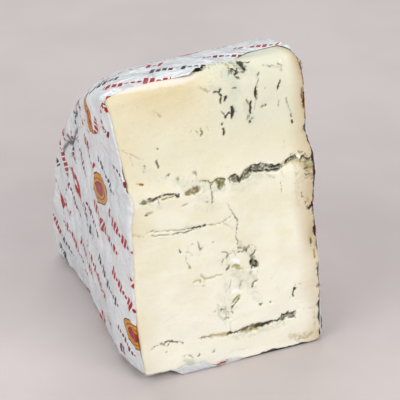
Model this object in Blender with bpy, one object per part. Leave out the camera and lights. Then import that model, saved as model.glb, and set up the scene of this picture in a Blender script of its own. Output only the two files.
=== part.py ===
"""A quarter-disc portion of soft veined cheese that rests on one cut side in its foil.

The cheese is one solid and the foil is another.  Both are skins over one lattice, a block whose
columns run left to right, whose ranks run front to back along the base, and whose levels run up.
The block is bent into the portion: its columns span the thickness of the disc, and its top and
back together follow the round rim of the disc from the cut face down to the base.
"""
import bisect
import math

import bmesh
import bpy
from mathutils import Vector, noise

MM = 0.001

# The portion, in millimetres: x runs left to right, y front to back and z up.
BASE_WIDTH = 88.0
RADIUS = 143.0              # of the rim, about the lower front edge
HEIGHT = 142.5
CUT_LEAN = 5.0              # degrees from upright to the top edge of the cut face
BEND_HEIGHT = 91.0          # above the main vein the cut face leans back
LEAN_LEFT = 12.4
LEAN_RIGHT = 10.5

# How far the front edges stand out to the side, as (height, distance).
LEFT_STAND = ((0.0, 0.0), (30.0, 2.6), (82.0, 3.2), (92.0, 2.0), (102.0, 2.2), (115.0, 3.8),
              (130.0, 5.2), (142.5, 7.0))
RIGHT_STAND = ((0.0, 0.0), (42.0, 0.3), (72.0, -1.8), (80.0, -0.9), (85.0, -0.2), (96.0, -0.1),
               (103.0, -2.2), (108.0, -2.6), (125.0, -1.2), (142.5, 0.6))
SIDE_SKEW = 9.5             # the cut is not square to the disc: its sides drift right at the back
SKEW_FROM = 20.0
SKEW_TO = 115.0

# The rim is not quite round: it drops towards the left edge and swells near the base.
LEFT_DROP = 8.5
LEFT_DROP_REACH = 24.0
DROP_AT_FRONT = 0.25        # share of the drop at the top of the cut face
DROP_FROM = 3.0             # degrees round the rim
DROP_TO = 25.0
RIM_SAG_LEFT = 1.9          # it sags a little all along its upper part
RIM_SAG_RIGHT = 0.7
RIM_SAG_AT = 28.0
RIM_SAG_REACH = 17.0
RIM_SETTLE = 0.2            # the rim is a true arc from this share of its length on
BASE_SWELL = 4.0
BASE_SWELL_AT = 84.0
BASE_SWELL_REACH = 6.0

# Radii of the edges, and the turns of the lattice columns that round them.
LEFT_EDGE = 2.5
RIGHT_EDGE = 4.0
LEFT_BASE_EDGE = 2.0
RIGHT_BASE_EDGE = 3.0
FRONT_EDGE = 1.2
LEFT_TURNS = (0.0, 45.0, 90.0)
RIGHT_TURNS = (90.0, 45.0, 0.0)

# The top edge of the cut face rolls over into the rim, from this far below it to as far behind.
ROLL_LEFT = 5.0
ROLL_RIGHT = 14.0

# The front left corner has lifted off the base.
CORNER_LIFT = 3.2
CORNER_FLAT_X = 12.0
CORNER_REACH_X = 19.5
CORNER_REACH_Y = 22.0
CORNER_FADE_BACK = 1.3
CORNER_FADE_UP = 3

# Veins that open into cracks across the cut face, as (distance from the left edge, height).
MAIN_VEIN = ((0.0, 90.0), (23.0, 91.0), (44.0, 93.2), (62.0, 94.6), (88.0, 96.5))
LOWER_VEIN = ((0.0, 15.0), (19.0, 13.5), (48.0, 12.5), (68.0, 14.5), (88.0, 17.0))
MAIN_NOMINAL = 92.0
LOWER_NOMINAL = 14.0
MAIN_DRIFT_REACH = 12.0
LOWER_DRIFT_REACH = 8.0
MAIN_CRACK = 2.4
MAIN_CRACK_MIDDLE = 58.0    # it gapes widest here
MAIN_CRACK_SPAN = 22.0
MAIN_CRACK_LEAST = 0.25     # share of its depth that is left far from there
LOWER_CRACK = 1.6
CUT_RELIEF = 0.8            # unevenness of the torn paste
RELIEF_SCALE = 15.0

# A lump of paste that has spilled over the top edge.
LUMP_X = 50.0
LUMP_REACH_X = 8.0
LUMP_Y = 10.5
LUMP_REACH_Y = 9.0
LUMP_RISE = 2.2

# The lattice: columns, ranks (as shares of the depth) and levels (as heights).
MIDDLE_COLUMNS = 9
RANKS = (0.0, 0.05, 0.12, 0.23, 0.37, 0.52, 0.68, 0.84, 1.0)
LEVELS = (0.0, 1.5, 5.0, 9.0, 12.0, 14.0, 16.0, 22.0, 34.0, 48.0, 62.0, 76.0, 89.0,
          92.0, 95.0, 104.0, 114.0, 124.0, 131.5, 137.5, 142.5)
MAIN_LEVEL = LEVELS.index(MAIN_NOMINAL)
LOWER_LEVEL = LEVELS.index(LOWER_NOMINAL)

# The foil, taken with its folds and air as a skin half a millimetre thick.
FOIL_THICKNESS = 0.5
FOIL_GAP = 0.3
LOOSE_EDGE = 0.4            # it stands off a little more along its free top edge
CREASE_DEPTH = 1.3
CREASE_SCALE = 21.0
RIM_CREASE_SHARE = 0.35     # the creases are pressed flatter beside the open front

# How far behind the cut face the foil ends on top, as (distance from the left edge, setback).
TOP_SETBACK = ((0.0, 1.0), (8.0, 4.0), (24.0, 5.5), (38.0, 2.5), (46.0, 6.0), (54.0, 10.0),
               (62.0, 17.0), (70.0, 26.0), (84.0, 28.0), (88.0, 7.0))
SETBACK_RANK = 3            # the ranks up to this one are drawn together to leave it bare
LIP = 1.0                   # at the sides the foil stands about this far past the cut face
LIP_LEAST = 0.3             # share of it that is always there
HEM_FROM = 15.0             # crumpled hem that peeps out under the cut face
HEM_TO = 48.0
HEM_LIP = 3.2
HEM_LEAST = 0.6
HEM_RISE = 2.6
EVEN = 0.5                  # added to noise, which runs from about -0.5 to 0.5

OUTWARD = 1.0


def mix(a, b, share):
    """Value between a and b."""
    return a + (b - a) * share


def smooth(value, start, end):
    """0 before the start, 1 after the end and an even curve between."""
    share = min(max((value - start) / (end - start), 0.0), 1.0)
    return share * share * (3.0 - 2.0 * share)


def bell(value, middle, reach):
    """Smooth bump: 1 at the middle and almost nothing twice its reach away."""
    return math.exp(-((value - middle) / reach) ** 2)


def along(points, place):
    """Value at a place of an open line of (place, value) points."""
    places = [point[0] for point in points]
    right = min(max(bisect.bisect(places, place), 1), len(points) - 1)
    (x0, value0), (x1, value1) = points[right - 1], points[right]
    return mix(value0, value1, min(max((place - x0) / (x1 - x0), 0.0), 1.0))


class Column:
    """One column of the lattice: where it stands across, and its turn round a side edge."""

    def __init__(self, across, edge, turn):
        self.across = across
        self.edge = edge
        self.turn = math.radians(turn)
        self.side_radius = {"left": LEFT_EDGE, "right": RIGHT_EDGE}.get(edge, 0.0)
        self.base_radius = {"left": LEFT_BASE_EDGE, "right": RIGHT_BASE_EDGE}.get(edge, 0.0)
        self.front_radius = FRONT_EDGE if edge else 0.0

    def inset(self, radius, grow):
        """How far the section lies inside its full outline on this column."""
        return radius - (radius + grow) * math.sin(self.turn)

    def place(self):
        """Distance from the left edge of the base."""
        inner = mix(LEFT_EDGE, BASE_WIDTH - RIGHT_EDGE, self.across)
        reach = self.side_radius * math.cos(self.turn)
        return inner + (reach if self.edge == "right" else -reach)


COLUMNS = ([Column(0.0, "left", turn) for turn in LEFT_TURNS]
           + [Column(step / MIDDLE_COLUMNS, "", 90.0) for step in range(1, MIDDLE_COLUMNS)]
           + [Column(1.0, "right", turn) for turn in RIGHT_TURNS])
LAST_COLUMN = len(COLUMNS) - 1
LAST_RANK = len(RANKS) - 1
LAST_LEVEL = len(LEVELS) - 1


def level_height(level, place):
    """Height of a level on the cut face: two levels follow the veins."""
    nominal = LEVELS[level]
    if level in (0, LAST_LEVEL):
        return nominal
    main = (along(MAIN_VEIN, place) - MAIN_NOMINAL) * bell(nominal, MAIN_NOMINAL,
                                                           MAIN_DRIFT_REACH)
    lower = (along(LOWER_VEIN, place) - LOWER_NOMINAL) * bell(nominal, LOWER_NOMINAL,
                                                              LOWER_DRIFT_REACH)
    return nominal + main + lower


def face_lean(place, height):
    """How far the cut face lies back at a height."""
    share = max((height - BEND_HEIGHT) / (HEIGHT - BEND_HEIGHT), 0.0)
    return mix(LEAN_LEFT, LEAN_RIGHT, place / BASE_WIDTH) * share


def rim_radius(place, degrees):
    """Radius of the rim at a distance from the left edge and an angle from upright."""
    drop = LEFT_DROP * max(1.0 - place / LEFT_DROP_REACH, 0.0) ** 2
    drop *= mix(DROP_AT_FRONT, 1.0, smooth(degrees, DROP_FROM, DROP_TO))
    sag = mix(RIM_SAG_LEFT, RIM_SAG_RIGHT, place / BASE_WIDTH)
    sag *= bell(degrees, RIM_SAG_AT, RIM_SAG_REACH)
    return RADIUS - drop - sag + BASE_SWELL * bell(degrees, BASE_SWELL_AT, BASE_SWELL_REACH)


def rim_point(place, share, inset, base_z):
    """Point (y, z) of the rim, a share of the way from the cut face to the base."""
    degrees = mix(CUT_LEAN, 90.0, share)
    radius = rim_radius(place, degrees)
    above = HEIGHT - RADIUS * math.cos(math.radians(CUT_LEAN))
    above *= 1.0 - smooth(share, 0.0, RIM_SETTLE)
    y = (radius - inset) * math.sin(math.radians(degrees))
    z = (radius - inset) * math.cos(math.radians(degrees)) + above
    return y, base_z + z * (HEIGHT - base_z) / HEIGHT


def section_point(column, v, level, grow):
    """Point (y, z) of a column's section, at a share v of the depth and a level."""
    place = column.place()
    base_z = FOIL_THICKNESS + FOIL_GAP + column.inset(column.base_radius, grow)
    inset = column.inset(column.side_radius, grow)
    set_in = column.front_radius * (1.0 - math.sin(column.turn))
    w = LEVELS[level] / HEIGHT
    height = level_height(level, place)
    top = rim_point(place, 0.0, inset, base_z)
    back = rim_point(place, 1.0, inset, base_z)
    middle = rim_point(place, 0.5, inset, base_z)
    front = (face_lean(place, height) + set_in, base_z + height * (top[1] - base_z) / HEIGHT)
    base = (mix(set_in, back[0], v), base_z)
    rear = rim_point(place, 1.0 - w / 2, inset, base_z)
    crown = rim_point(place, v / 2, inset, base_z)
    crown = (crown[0] + (face_lean(place, HEIGHT) + set_in - top[0]) * (1.0 - v), crown[1])
    top = (face_lean(place, HEIGHT) + set_in, top[1])
    point = []
    for axis in (0, 1):
        ruled = mix(front[axis], rear[axis], v) + mix(base[axis], crown[axis], w)
        flat = mix(mix((set_in, base_z)[axis], top[axis], w),
                   mix(back[axis], middle[axis], w), v)
        point.append(ruled - flat)
    return point


def corner_lift(place, y, z):
    """How far the lifted front corner stands off the base, fading upwards."""
    across = 1.0 - smooth(place, CORNER_FLAT_X, CORNER_REACH_X)
    behind = max(1.0 - max(y, 0.0) / CORNER_REACH_Y, 0.0) ** CORNER_FADE_BACK
    return CORNER_LIFT * across * behind * max(1.0 - z / HEIGHT, 0.0) ** CORNER_FADE_UP


def skin_point(i, v, level, grow):
    """Point of the portion's skin, moved out by grow on every side but the cut face."""
    column = COLUMNS[i]
    place = column.place()
    y, z = section_point(column, v, level, grow)
    if level == LAST_LEVEL:
        set_in = column.front_radius * (1.0 - math.sin(column.turn))
        behind = max(y - face_lean(place, HEIGHT) - set_in, 0.0)
        y, z = roll_over(place, y, z, 0.0, behind)
        z += lump_rise(place, y)
    elif v == 0.0:
        y, z = roll_over(place, y, z, HEIGHT - LEVELS[level], 0.0)
    skew = SIDE_SKEW * smooth(y, SKEW_FROM, SKEW_TO)
    left = LEFT_EDGE - along(LEFT_STAND, z)
    right = BASE_WIDTH - RIGHT_EDGE + along(RIGHT_STAND, z)
    reach = (column.side_radius + grow) * math.cos(column.turn)
    x = mix(left, right, column.across) + (reach if column.edge == "right" else -reach) + skew
    return Vector((x, y, z + corner_lift(place, y, z)))


def roll_over(place, y, z, down, behind):
    """Roll the top edge of the cut face over, as a curve of second degree.

    A point lies either a distance down from the edge on the face or a distance behind it on top.
    """
    reach = mix(ROLL_LEFT, ROLL_RIGHT, smooth(place, BASE_WIDTH / 3, BASE_WIDTH))
    if max(down, behind) >= reach:
        return y, z
    turned = (1.0 + (behind - down) / reach) / 2
    return (y - behind + reach * turned ** 2,
            z + down - reach * (1.0 - turned) ** 2)


def lump_rise(place, y):
    """Rise of the spilled lump of paste on the top edge."""
    return LUMP_RISE * bell(place, LUMP_X, LUMP_REACH_X) * bell(y, LUMP_Y, LUMP_REACH_Y)


def crack_depth(place, level):
    """Depth of the cracks that two levels of the cut face follow."""
    if level == MAIN_LEVEL:
        near = bell(place, MAIN_CRACK_MIDDLE, MAIN_CRACK_SPAN)
        return MAIN_CRACK * mix(MAIN_CRACK_LEAST, 1.0, near)
    return LOWER_CRACK if level == LOWER_LEVEL else 0.0


def cheese_point(i, j, k):
    """Point of the cheese's surface."""
    point = skin_point(i, RANKS[j], k, 0.0)
    if j == 0 and 0 < i < LAST_COLUMN and 0 < k < LAST_LEVEL:
        relief = CUT_RELIEF * noise.noise(point / RELIEF_SCALE)
        point.y += relief + crack_depth(COLUMNS[i].place(), k)
    return point


def crease(i, j, k):
    """How far the foil stands off the cheese beyond its gap; it is flat under the base."""
    if k == 0:
        return 0.0
    bare = skin_point(i, RANKS[j], k, 0.0)
    depth = CREASE_DEPTH * max(EVEN + noise.noise(bare / CREASE_SCALE), 0.0)
    if k == LAST_LEVEL and j <= SETBACK_RANK:
        return LOOSE_EDGE + depth * RIM_CREASE_SHARE
    share = RIM_CREASE_SHARE if j == 0 else 1.0
    return depth * share * min(LEVELS[k] / LEVELS[2], 1.0)


def foil_point(i, j, k):
    """Point of the foil's inner side."""
    v = RANKS[j]
    if k == LAST_LEVEL and j < SETBACK_RANK:
        free = along(TOP_SETBACK, COLUMNS[i].place()) / RADIUS
        v = mix(free, RANKS[SETBACK_RANK], v / RANKS[SETBACK_RANK])
    return skin_point(i, v, k, FOIL_GAP + crease(i, j, k))


def foil_lip(i, k):
    """Where the free edge of the foil ends, in front of its lattice rim."""
    place = COLUMNS[i].place()
    point = foil_point(i, 0, k)
    waver = EVEN + noise.noise(point / RELIEF_SCALE)
    if k == 0 and HEM_FROM < place < HEM_TO:
        return point + Vector((0.0, -HEM_LIP * mix(HEM_LEAST, 1.0, waver), HEM_RISE * waver))
    if k == LAST_LEVEL:
        return point + Vector((0.0, -FOIL_THICKNESS, 0.0))
    return point + Vector((0.0, -LIP * (LIP_LEAST + waver), 0.0))


def lattice_sides():
    """The six sides of the lattice, each as rows of places whose quads face out."""
    columns = range(LAST_COLUMN + 1)
    ranks = range(LAST_RANK + 1)
    levels = range(LAST_LEVEL + 1)
    return {
        "front": [[(i, 0, k) for i in columns] for k in levels],
        "back": [[(i, LAST_RANK, k) for i in reversed(columns)] for k in levels],
        "base": [[(i, j, 0) for i in columns] for j in reversed(ranks)],
        "top": [[(i, j, LAST_LEVEL) for i in columns] for j in ranks],
        "left": [[(0, j, k) for j in reversed(ranks)] for k in levels],
        "right": [[(LAST_COLUMN, j, k) for j in ranks] for k in levels],
    }


def skin_rows(mesh, rows, place_vertex):
    """Fill rows of lattice places with pairs of triangles."""
    for lower, upper in zip(rows[:-1], rows[1:]):
        for n in range(len(lower) - 1):
            a, b = place_vertex(lower[n]), place_vertex(lower[n + 1])
            c, d = place_vertex(upper[n + 1]), place_vertex(upper[n])
            mesh.faces.new((a, b, c))
            mesh.faces.new((a, c, d))


def vertex_maker(mesh, place_point):
    """A function that gives the vertex of a lattice place, made when first asked for."""
    made = {}

    def place_vertex(place):
        if place not in made:
            made[place] = mesh.verts.new(place_point(*place) * MM)
        return made[place]

    return place_vertex


def make_object(name, mesh, material):
    """Object with a smooth shaded mesh."""
    data = bpy.data.meshes.new(name)
    mesh.to_mesh(data)
    mesh.free()
    data.shade_smooth()
    data.materials.append(material)
    item = bpy.data.objects.new(name, data)
    bpy.context.collection.objects.link(item)
    return item


def plain_material(name, colour, roughness, metallic):
    """Principled material."""
    material = bpy.data.materials.new(name)
    material.use_nodes = True
    shader = material.node_tree.nodes["Principled BSDF"]
    shader.inputs["Base Color"].default_value = (*colour, 1.0)
    shader.inputs["Roughness"].default_value = roughness
    shader.inputs["Metallic"].default_value = metallic
    return material


def make_cheese():
    """The paste with its rind, closed all round."""
    mesh = bmesh.new()
    place_vertex = vertex_maker(mesh, cheese_point)
    for rows in lattice_sides().values():
        skin_rows(mesh, rows, place_vertex)
    return make_object("cheese", mesh, plain_material("paste", (0.87, 0.80, 0.62), 0.45, 0.0))


def make_foil():
    """The wrapper: every side but the cut face, with a free lip round the open front."""
    mesh = bmesh.new()
    sides = lattice_sides()
    del sides["front"]
    lip_rank = -1

    def sheet_point(i, j, k):
        return foil_lip(i, k) if j == lip_rank else foil_point(i, j, k)

    place_vertex = vertex_maker(mesh, sheet_point)
    sides["base"].append([(i, lip_rank, 0) for i in range(LAST_COLUMN + 1)])
    sides["top"].insert(0, [(i, lip_rank, LAST_LEVEL) for i in range(LAST_COLUMN + 1)])
    for k, row in enumerate(sides["left"]):
        row.append((0, lip_rank, k))
    for k, row in enumerate(sides["right"]):
        row.insert(0, (LAST_COLUMN, lip_rank, k))
    for rows in sides.values():
        skin_rows(mesh, rows, place_vertex)
    item = make_object("foil", mesh, plain_material("foil", (0.62, 0.65, 0.68), 0.35, 0.6))
    wall = item.modifiers.new("wall", "SOLIDIFY")
    wall.thickness = FOIL_THICKNESS * MM
    wall.offset = OUTWARD
    return item


def centre_on_base(items):
    """Put the middle of the whole portion's outline over the origin."""
    bpy.context.view_layer.update()
    graph = bpy.context.evaluated_depsgraph_get()
    points = [vertex.co for item in items for vertex in item.evaluated_get(graph).data.vertices]
    middle = Vector([(min(p[axis] for p in points) + max(p[axis] for p in points)) / 2
                     for axis in (0, 1)] + [0.0])
    for item in items:
        for vertex in item.data.vertices:
            vertex.co -= middle


def main():
    """Clear the scene and make the portion."""
    for item in list(bpy.data.objects):
        bpy.data.objects.remove(item, do_unlink=True)
    centre_on_base([make_cheese(), make_foil()])


main()
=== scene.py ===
"""Looks of a quarter-disc portion of soft veined cheese in its printed foil.

The form is worked out from the same named sizes as the solids, at a fine resolution.  Lengths are
millimetres in the portion's own frame: x from the lower left front corner to the right along the
cut face, y back and z up.  The row's frame has its origin under the middle of the portion.  The
marks on the cut face are listed where the photograph shows them, in its pixels, and on_cut_face
works out where they lie.
"""
import math

import bpy
import numpy as np
from mathutils import Matrix, Vector


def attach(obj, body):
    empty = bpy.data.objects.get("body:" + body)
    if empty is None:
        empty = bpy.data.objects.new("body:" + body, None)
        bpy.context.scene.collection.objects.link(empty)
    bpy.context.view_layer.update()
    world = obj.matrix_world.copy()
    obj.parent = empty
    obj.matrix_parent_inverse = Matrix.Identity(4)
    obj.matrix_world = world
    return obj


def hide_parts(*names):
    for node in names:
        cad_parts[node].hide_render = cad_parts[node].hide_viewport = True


MM = 0.001
ORIGIN = np.array((45.87, 72.42, 0.0))     # the row's origin in the portion's own frame

# ---- The portion ------------------------------------------------------------------------------
# The driving sizes are those of the solids, and the form follows them in the same way.
BASE_WIDTH = 88.0
RADIUS = 143.0
HEIGHT = 142.5
CUT_LEAN = 5.0              # degrees that the cut face lies back
BEND_HEIGHT = 91.0          # the cut face is upright up to here
LEAN_LEFT = 12.4            # how far its top lies back at either end
LEAN_RIGHT = 10.5
# How far each side stands out, as (height, distance).
LEFT_STAND = ((0.0, 0.0), (30.0, 2.6), (82.0, 3.2), (92.0, 2.0), (102.0, 2.2), (115.0, 3.8),
              (130.0, 5.2), (142.5, 7.0))
RIGHT_STAND = ((0.0, 0.0), (42.0, 0.3), (72.0, -1.8), (80.0, -0.9), (85.0, -0.2), (96.0, -0.1),
               (103.0, -2.2), (108.0, -2.6), (125.0, -1.2), (142.5, 0.6))
SIDE_SKEW = 9.5             # both sides turn to the right by this much towards the back
SKEW_FROM = 20.0
SKEW_TO = 115.0
LEFT_DROP = 8.5             # the rim drops at its left end
LEFT_DROP_REACH = 24.0
DROP_AT_FRONT = 0.25
DROP_FROM = 3.0
DROP_TO = 25.0
RIM_SAG_LEFT = 1.9          # and sags in the middle of its arc
RIM_SAG_RIGHT = 0.7
RIM_SAG_AT = 28.0
RIM_SAG_REACH = 17.0
RIM_SETTLE = 0.2
BASE_SWELL = 4.0            # it swells where it meets the base
BASE_SWELL_AT = 84.0
BASE_SWELL_REACH = 6.0
LEFT_EDGE = 2.5             # radii of the long edges
RIGHT_EDGE = 4.0
LEFT_BASE_EDGE = 2.0
RIGHT_BASE_EDGE = 3.0
FRONT_EDGE = 1.2
ROLL_LEFT = 5.0             # reach of the rolled top edge at either end
ROLL_RIGHT = 14.0
CORNER_LIFT = 3.2           # the left front corner is lifted off the table
CORNER_FLAT_X = 12.0
CORNER_REACH_X = 19.5
CORNER_REACH_Y = 22.0
CORNER_FADE_BACK = 1.3      # powers of the lift's fading
CORNER_FADE_UP = 3
FOIL_THICKNESS = 0.5
FOIL_GAP = 0.3
FLOOR_ROOM = 0.6            # the foil stands off this much at most where it meets the floor
# How far the drawn foil's front edge lies behind the top edge of the cut face, as (place, distance).
# It goes in and out more than the edge of the solid foil.
TOP_SETBACK = ((0.0, 1.0), (8.0, 4.0), (24.0, 5.5), (38.0, 2.5), (42.0, 9.0), (49.0, 12.0),
               (56.0, 11.0), (62.0, 17.0), (70.0, 26.0), (84.0, 28.0), (88.0, 7.0))


def mix(a, b, share):
    """Value between a and b."""
    return a + (b - a) * share


def smooth(value, start, end):
    """0 before the start, 1 after the end and an even curve between."""
    share = np.clip((value - start) / (end - start), 0.0, 1.0)
    return share * share * (3.0 - 2.0 * share)


def bell(value, middle, reach):
    """Smooth bump: 1 at the middle and almost nothing twice its reach away."""
    return np.exp(-((value - middle) / reach) ** 2)


def along(points, place):
    """Value at a place of an open line of (place, value) points."""
    return np.interp(place, [point[0] for point in points], [point[1] for point in points])


class Columns:
    """Columns of the skin's lattice as arrays: their place across and their turn round an edge.

    A turn of 90 degrees faces front, back, top or base, and a turn of 0 faces the side.
    """

    def __init__(self, left_turns, across, right_turns):
        self.across = np.array([0.0] * len(left_turns) + list(across) + [1.0] * len(right_turns))
        self.edge = np.array([-1] * len(left_turns) + [0] * len(across) + [1] * len(right_turns))
        turns = list(left_turns) + [90.0] * len(across) + list(right_turns)
        self.turn = np.radians(np.array(turns, float))
        self.side_radius = np.select([self.edge < 0, self.edge > 0], [LEFT_EDGE, RIGHT_EDGE], 0.0)
        self.base_radius = np.select([self.edge < 0, self.edge > 0],
                                     [LEFT_BASE_EDGE, RIGHT_BASE_EDGE], 0.0)
        self.front_radius = np.where(self.edge == 0, 0.0, FRONT_EDGE)
        inner = mix(LEFT_EDGE, BASE_WIDTH - RIGHT_EDGE, self.across)
        self.place = inner + self.edge * self.side_radius * np.cos(self.turn)

    def take(self, index):
        """The columns of an index array, in its shape."""
        part = Columns.__new__(Columns)
        for name, values in vars(self).items():
            setattr(part, name, values[index])
        return part


def face_lean(place, height):
    """How far the cut face lies back at a height."""
    share = np.maximum((height - BEND_HEIGHT) / (HEIGHT - BEND_HEIGHT), 0.0)
    return mix(LEAN_LEFT, LEAN_RIGHT, place / BASE_WIDTH) * share


def rim_point(place, share, inset, base_z):
    """Point (y, z) of the rim, a share of the way from the cut face to the base."""
    degrees = mix(CUT_LEAN, 90.0, share)
    drop = LEFT_DROP * np.maximum(1.0 - place / LEFT_DROP_REACH, 0.0) ** 2
    drop = drop * mix(DROP_AT_FRONT, 1.0, smooth(degrees, DROP_FROM, DROP_TO))
    drop = drop + mix(RIM_SAG_LEFT, RIM_SAG_RIGHT, place / BASE_WIDTH) * bell(
        degrees, RIM_SAG_AT, RIM_SAG_REACH)
    radius = RADIUS - drop + BASE_SWELL * bell(degrees, BASE_SWELL_AT, BASE_SWELL_REACH) - inset
    above = (HEIGHT - RADIUS * math.cos(math.radians(CUT_LEAN)))
    above = above * (1.0 - smooth(share, 0.0, RIM_SETTLE))
    z = radius * np.cos(np.radians(degrees)) + above
    return radius * np.sin(np.radians(degrees)), base_z + z * (HEIGHT - base_z) / HEIGHT


def corner_lift(place, y, z):
    """How far the lifted front corner stands off the base, fading upwards."""
    across = 1.0 - smooth(place, CORNER_FLAT_X, CORNER_REACH_X)
    behind = np.maximum(1.0 - np.maximum(y, 0.0) / CORNER_REACH_Y, 0.0) ** CORNER_FADE_BACK
    return CORNER_LIFT * across * behind * np.maximum(1.0 - z / HEIGHT, 0.0) ** CORNER_FADE_UP


def stand(columns, y, z, grow):
    """x of points of the given columns."""
    skew = SIDE_SKEW * smooth(y, SKEW_FROM, SKEW_TO)
    left = LEFT_EDGE - along(LEFT_STAND, z)
    right = BASE_WIDTH - RIGHT_EDGE + along(RIGHT_STAND, z)
    reach = (columns.side_radius + grow) * np.cos(columns.turn) * columns.edge
    return mix(left, right, columns.across) + reach + skew


def insets(columns, grow, deeper=0.0):
    """How far the columns' sections lie inside the full outline at the rim and at the base."""
    out = np.sin(columns.turn)
    rim = columns.side_radius - (columns.side_radius + grow) * out + deeper
    base = columns.base_radius - (columns.base_radius + np.minimum(grow, FLOOR_ROOM)) * out
    return rim, base


def roll_over(place, y, z, down, behind):
    """Roll the top edge of the cut face over into the rim.

    The edge is a curve of second degree that starts a reach below it, where down is the distance
    on the face, and ends a reach behind it.
    """
    reach = mix(ROLL_LEFT, ROLL_RIGHT, smooth(place, BASE_WIDTH / 3, BASE_WIDTH))
    low = np.clip(0.5 * (1.0 - down / reach), 0.0, 0.5)
    far = np.clip(0.5 * (1.0 + behind / reach), 0.5, 1.0)
    on_top = down <= 0.0
    on_face = (behind <= 0.0) & ~on_top
    back = np.where(on_top, reach * far ** 2 - np.minimum(behind, reach), 0.0)
    sunk = np.where(on_top, reach * (1.0 - far) ** 2, 0.0)
    back = np.where(on_face, reach * low ** 2, back)
    sunk = np.where(on_face, reach * (1.0 - low) ** 2 - np.minimum(down, reach), sunk)
    return y + back, z - sunk


def skin(columns, v, height, grow):
    """Points of the portion's skin at a share v of the depth and a height on the cut face,
    moved out by grow on every side but the cut face."""
    inset, base_inset = insets(columns, grow)
    base_z = FOIL_THICKNESS + FOIL_GAP + base_inset
    set_in = columns.front_radius * (1.0 - np.sin(columns.turn))
    place = columns.place
    w = height / HEIGHT
    top_rim = rim_point(place, 0.0, inset, base_z)
    back = rim_point(place, 1.0, inset, base_z)
    middle = rim_point(place, 0.5, inset, base_z)
    rear = rim_point(place, 1.0 - w / 2, inset, base_z)
    crown = rim_point(place, v / 2, inset, base_z)
    top = (face_lean(place, HEIGHT) + set_in, top_rim[1])
    crown = (crown[0] + (top[0] - top_rim[0]) * (1.0 - v), crown[1])
    front = (face_lean(place, height) + set_in, base_z + height * (top[1] - base_z) / HEIGHT)
    base = (mix(set_in, back[0], v), base_z)
    point = []
    for axis in (0, 1):
        ruled = mix(front[axis], rear[axis], v) + mix(base[axis], crown[axis], w)
        flat = mix(mix((set_in, base_z)[axis], top[axis], w),
                   mix(back[axis], middle[axis], w), v)
        point.append(ruled - flat)
    y, z = point
    behind = np.maximum(y - face_lean(place, HEIGHT) - set_in, 0.0)
    y, z = roll_over(place, y, z, HEIGHT - height, np.where(v == 0.0, 0.0, behind))
    x = stand(columns, y, z, grow)
    return np.stack([x, y, z + corner_lift(place, y, z)], -1)


# ---- The photograph's view ----------------------------------------------------------------------
CAMERA_AZIMUTH = 21.5       # degrees to the left of the cut face
CAMERA_RISE = 27.0
CAMERA_ROLL = -2.8
CAMERA_DISTANCE = 1.45      # metres
CAMERA_TARGET = (-0.0149, -0.0724, 0.087)
FOCAL_PIXELS = 3236.0
FRAME_PIXELS = 400.0
SENSOR = 36.0
FACE_MM_PER_PIXEL = 0.5     # scale of the photograph on the cut face, for the width of marks
SETTLE_ROUNDS = 40          # rounds in which a point on the leaning cut face settles


def view():
    """Where the camera stands in metres, and the directions to its right, up and back."""
    turn, rise = math.radians(CAMERA_AZIMUTH), math.radians(CAMERA_RISE)
    back = Vector((-math.sin(turn) * math.cos(rise), -math.cos(turn) * math.cos(rise),
                   math.sin(rise)))
    level = Vector((math.cos(turn), -math.sin(turn), 0.0))
    upright = level.cross(-back)
    roll = math.radians(CAMERA_ROLL)
    right = math.cos(roll) * level + math.sin(roll) * upright
    up = math.cos(roll) * upright - math.sin(roll) * level
    return Vector(CAMERA_TARGET) + back * CAMERA_DISTANCE, right, up, back


def on_cut_face(line):
    """A line of (column, row, half width) in the photograph's pixels, as (place across, height,
    half width) on the cut face."""
    column, row, half = np.array(line, float).T
    stands_at, right, up, back = (np.array(part) for part in view())
    eye = stands_at / MM + ORIGIN
    ray = np.outer(column - FRAME_PIXELS / 2, right) - np.outer(row - FRAME_PIXELS / 2, up)
    ray = ray / FOCAL_PIXELS - back
    y = np.zeros(len(line))
    for _ in range(SETTLE_ROUNDS):
        point = eye + ray * ((y - eye[1]) / ray[:, 1])[:, None]
        y = face_lean(point[:, 0], point[:, 2])
    return np.stack([point[:, 0], point[:, 2], half * FACE_MM_PER_PIXEL], -1)


# ---- Noise ------------------------------------------------------------------------------------
# Every call of noise, rough and cells is given a fixed seed, so that each run makes the same shape.
NOISE_CELLS = 64


def noise(points, scale, seed):
    """Smooth noise between -1 and 1."""
    table = np.random.default_rng(seed).uniform(-1.0, 1.0, (NOISE_CELLS,) * 3)
    spot = points / scale
    corner = np.floor(spot).astype(int)
    share = spot - corner
    share = share * share * (3.0 - 2.0 * share)
    total = np.zeros(points.shape[:-1])
    for dx in (0, 1):
        for dy in (0, 1):
            for dz in (0, 1):
                step = np.array((dx, dy, dz))
                weight = np.prod(np.where(step == 1, share, 1.0 - share), axis=-1)
                index = (corner + step) % NOISE_CELLS
                total += weight * table[index[..., 0], index[..., 1], index[..., 2]]
    return total


def rough(points, scale, seed, octaves=3):
    """Noise with finer noise on it."""
    total = np.zeros(points.shape[:-1])
    for octave in range(octaves):
        total += noise(points, scale / 2.0 ** octave, seed + octave) / 2.0 ** octave
    return total


def cells(points, scale, seed):
    """Distances to the nearest and the second nearest of scattered seeds, in cell sizes."""
    jitter = np.random.default_rng(seed).uniform(0.0, 1.0, (NOISE_CELLS,) * 3 + (3,))
    spot = points / scale
    corner = np.floor(spot).astype(int)
    first = np.full(points.shape[:-1], 9.0)
    second = first.copy()
    for step in np.ndindex(3, 3, 3):
        cell = corner + np.array(step) - 1
        index = cell % NOISE_CELLS
        seed_at = cell + jitter[index[..., 0], index[..., 1], index[..., 2]]
        reach = np.linalg.norm(seed_at - spot, axis=-1)
        second = np.minimum(second, np.maximum(first, reach))
        first = np.minimum(first, reach)
    return first, second


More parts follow.
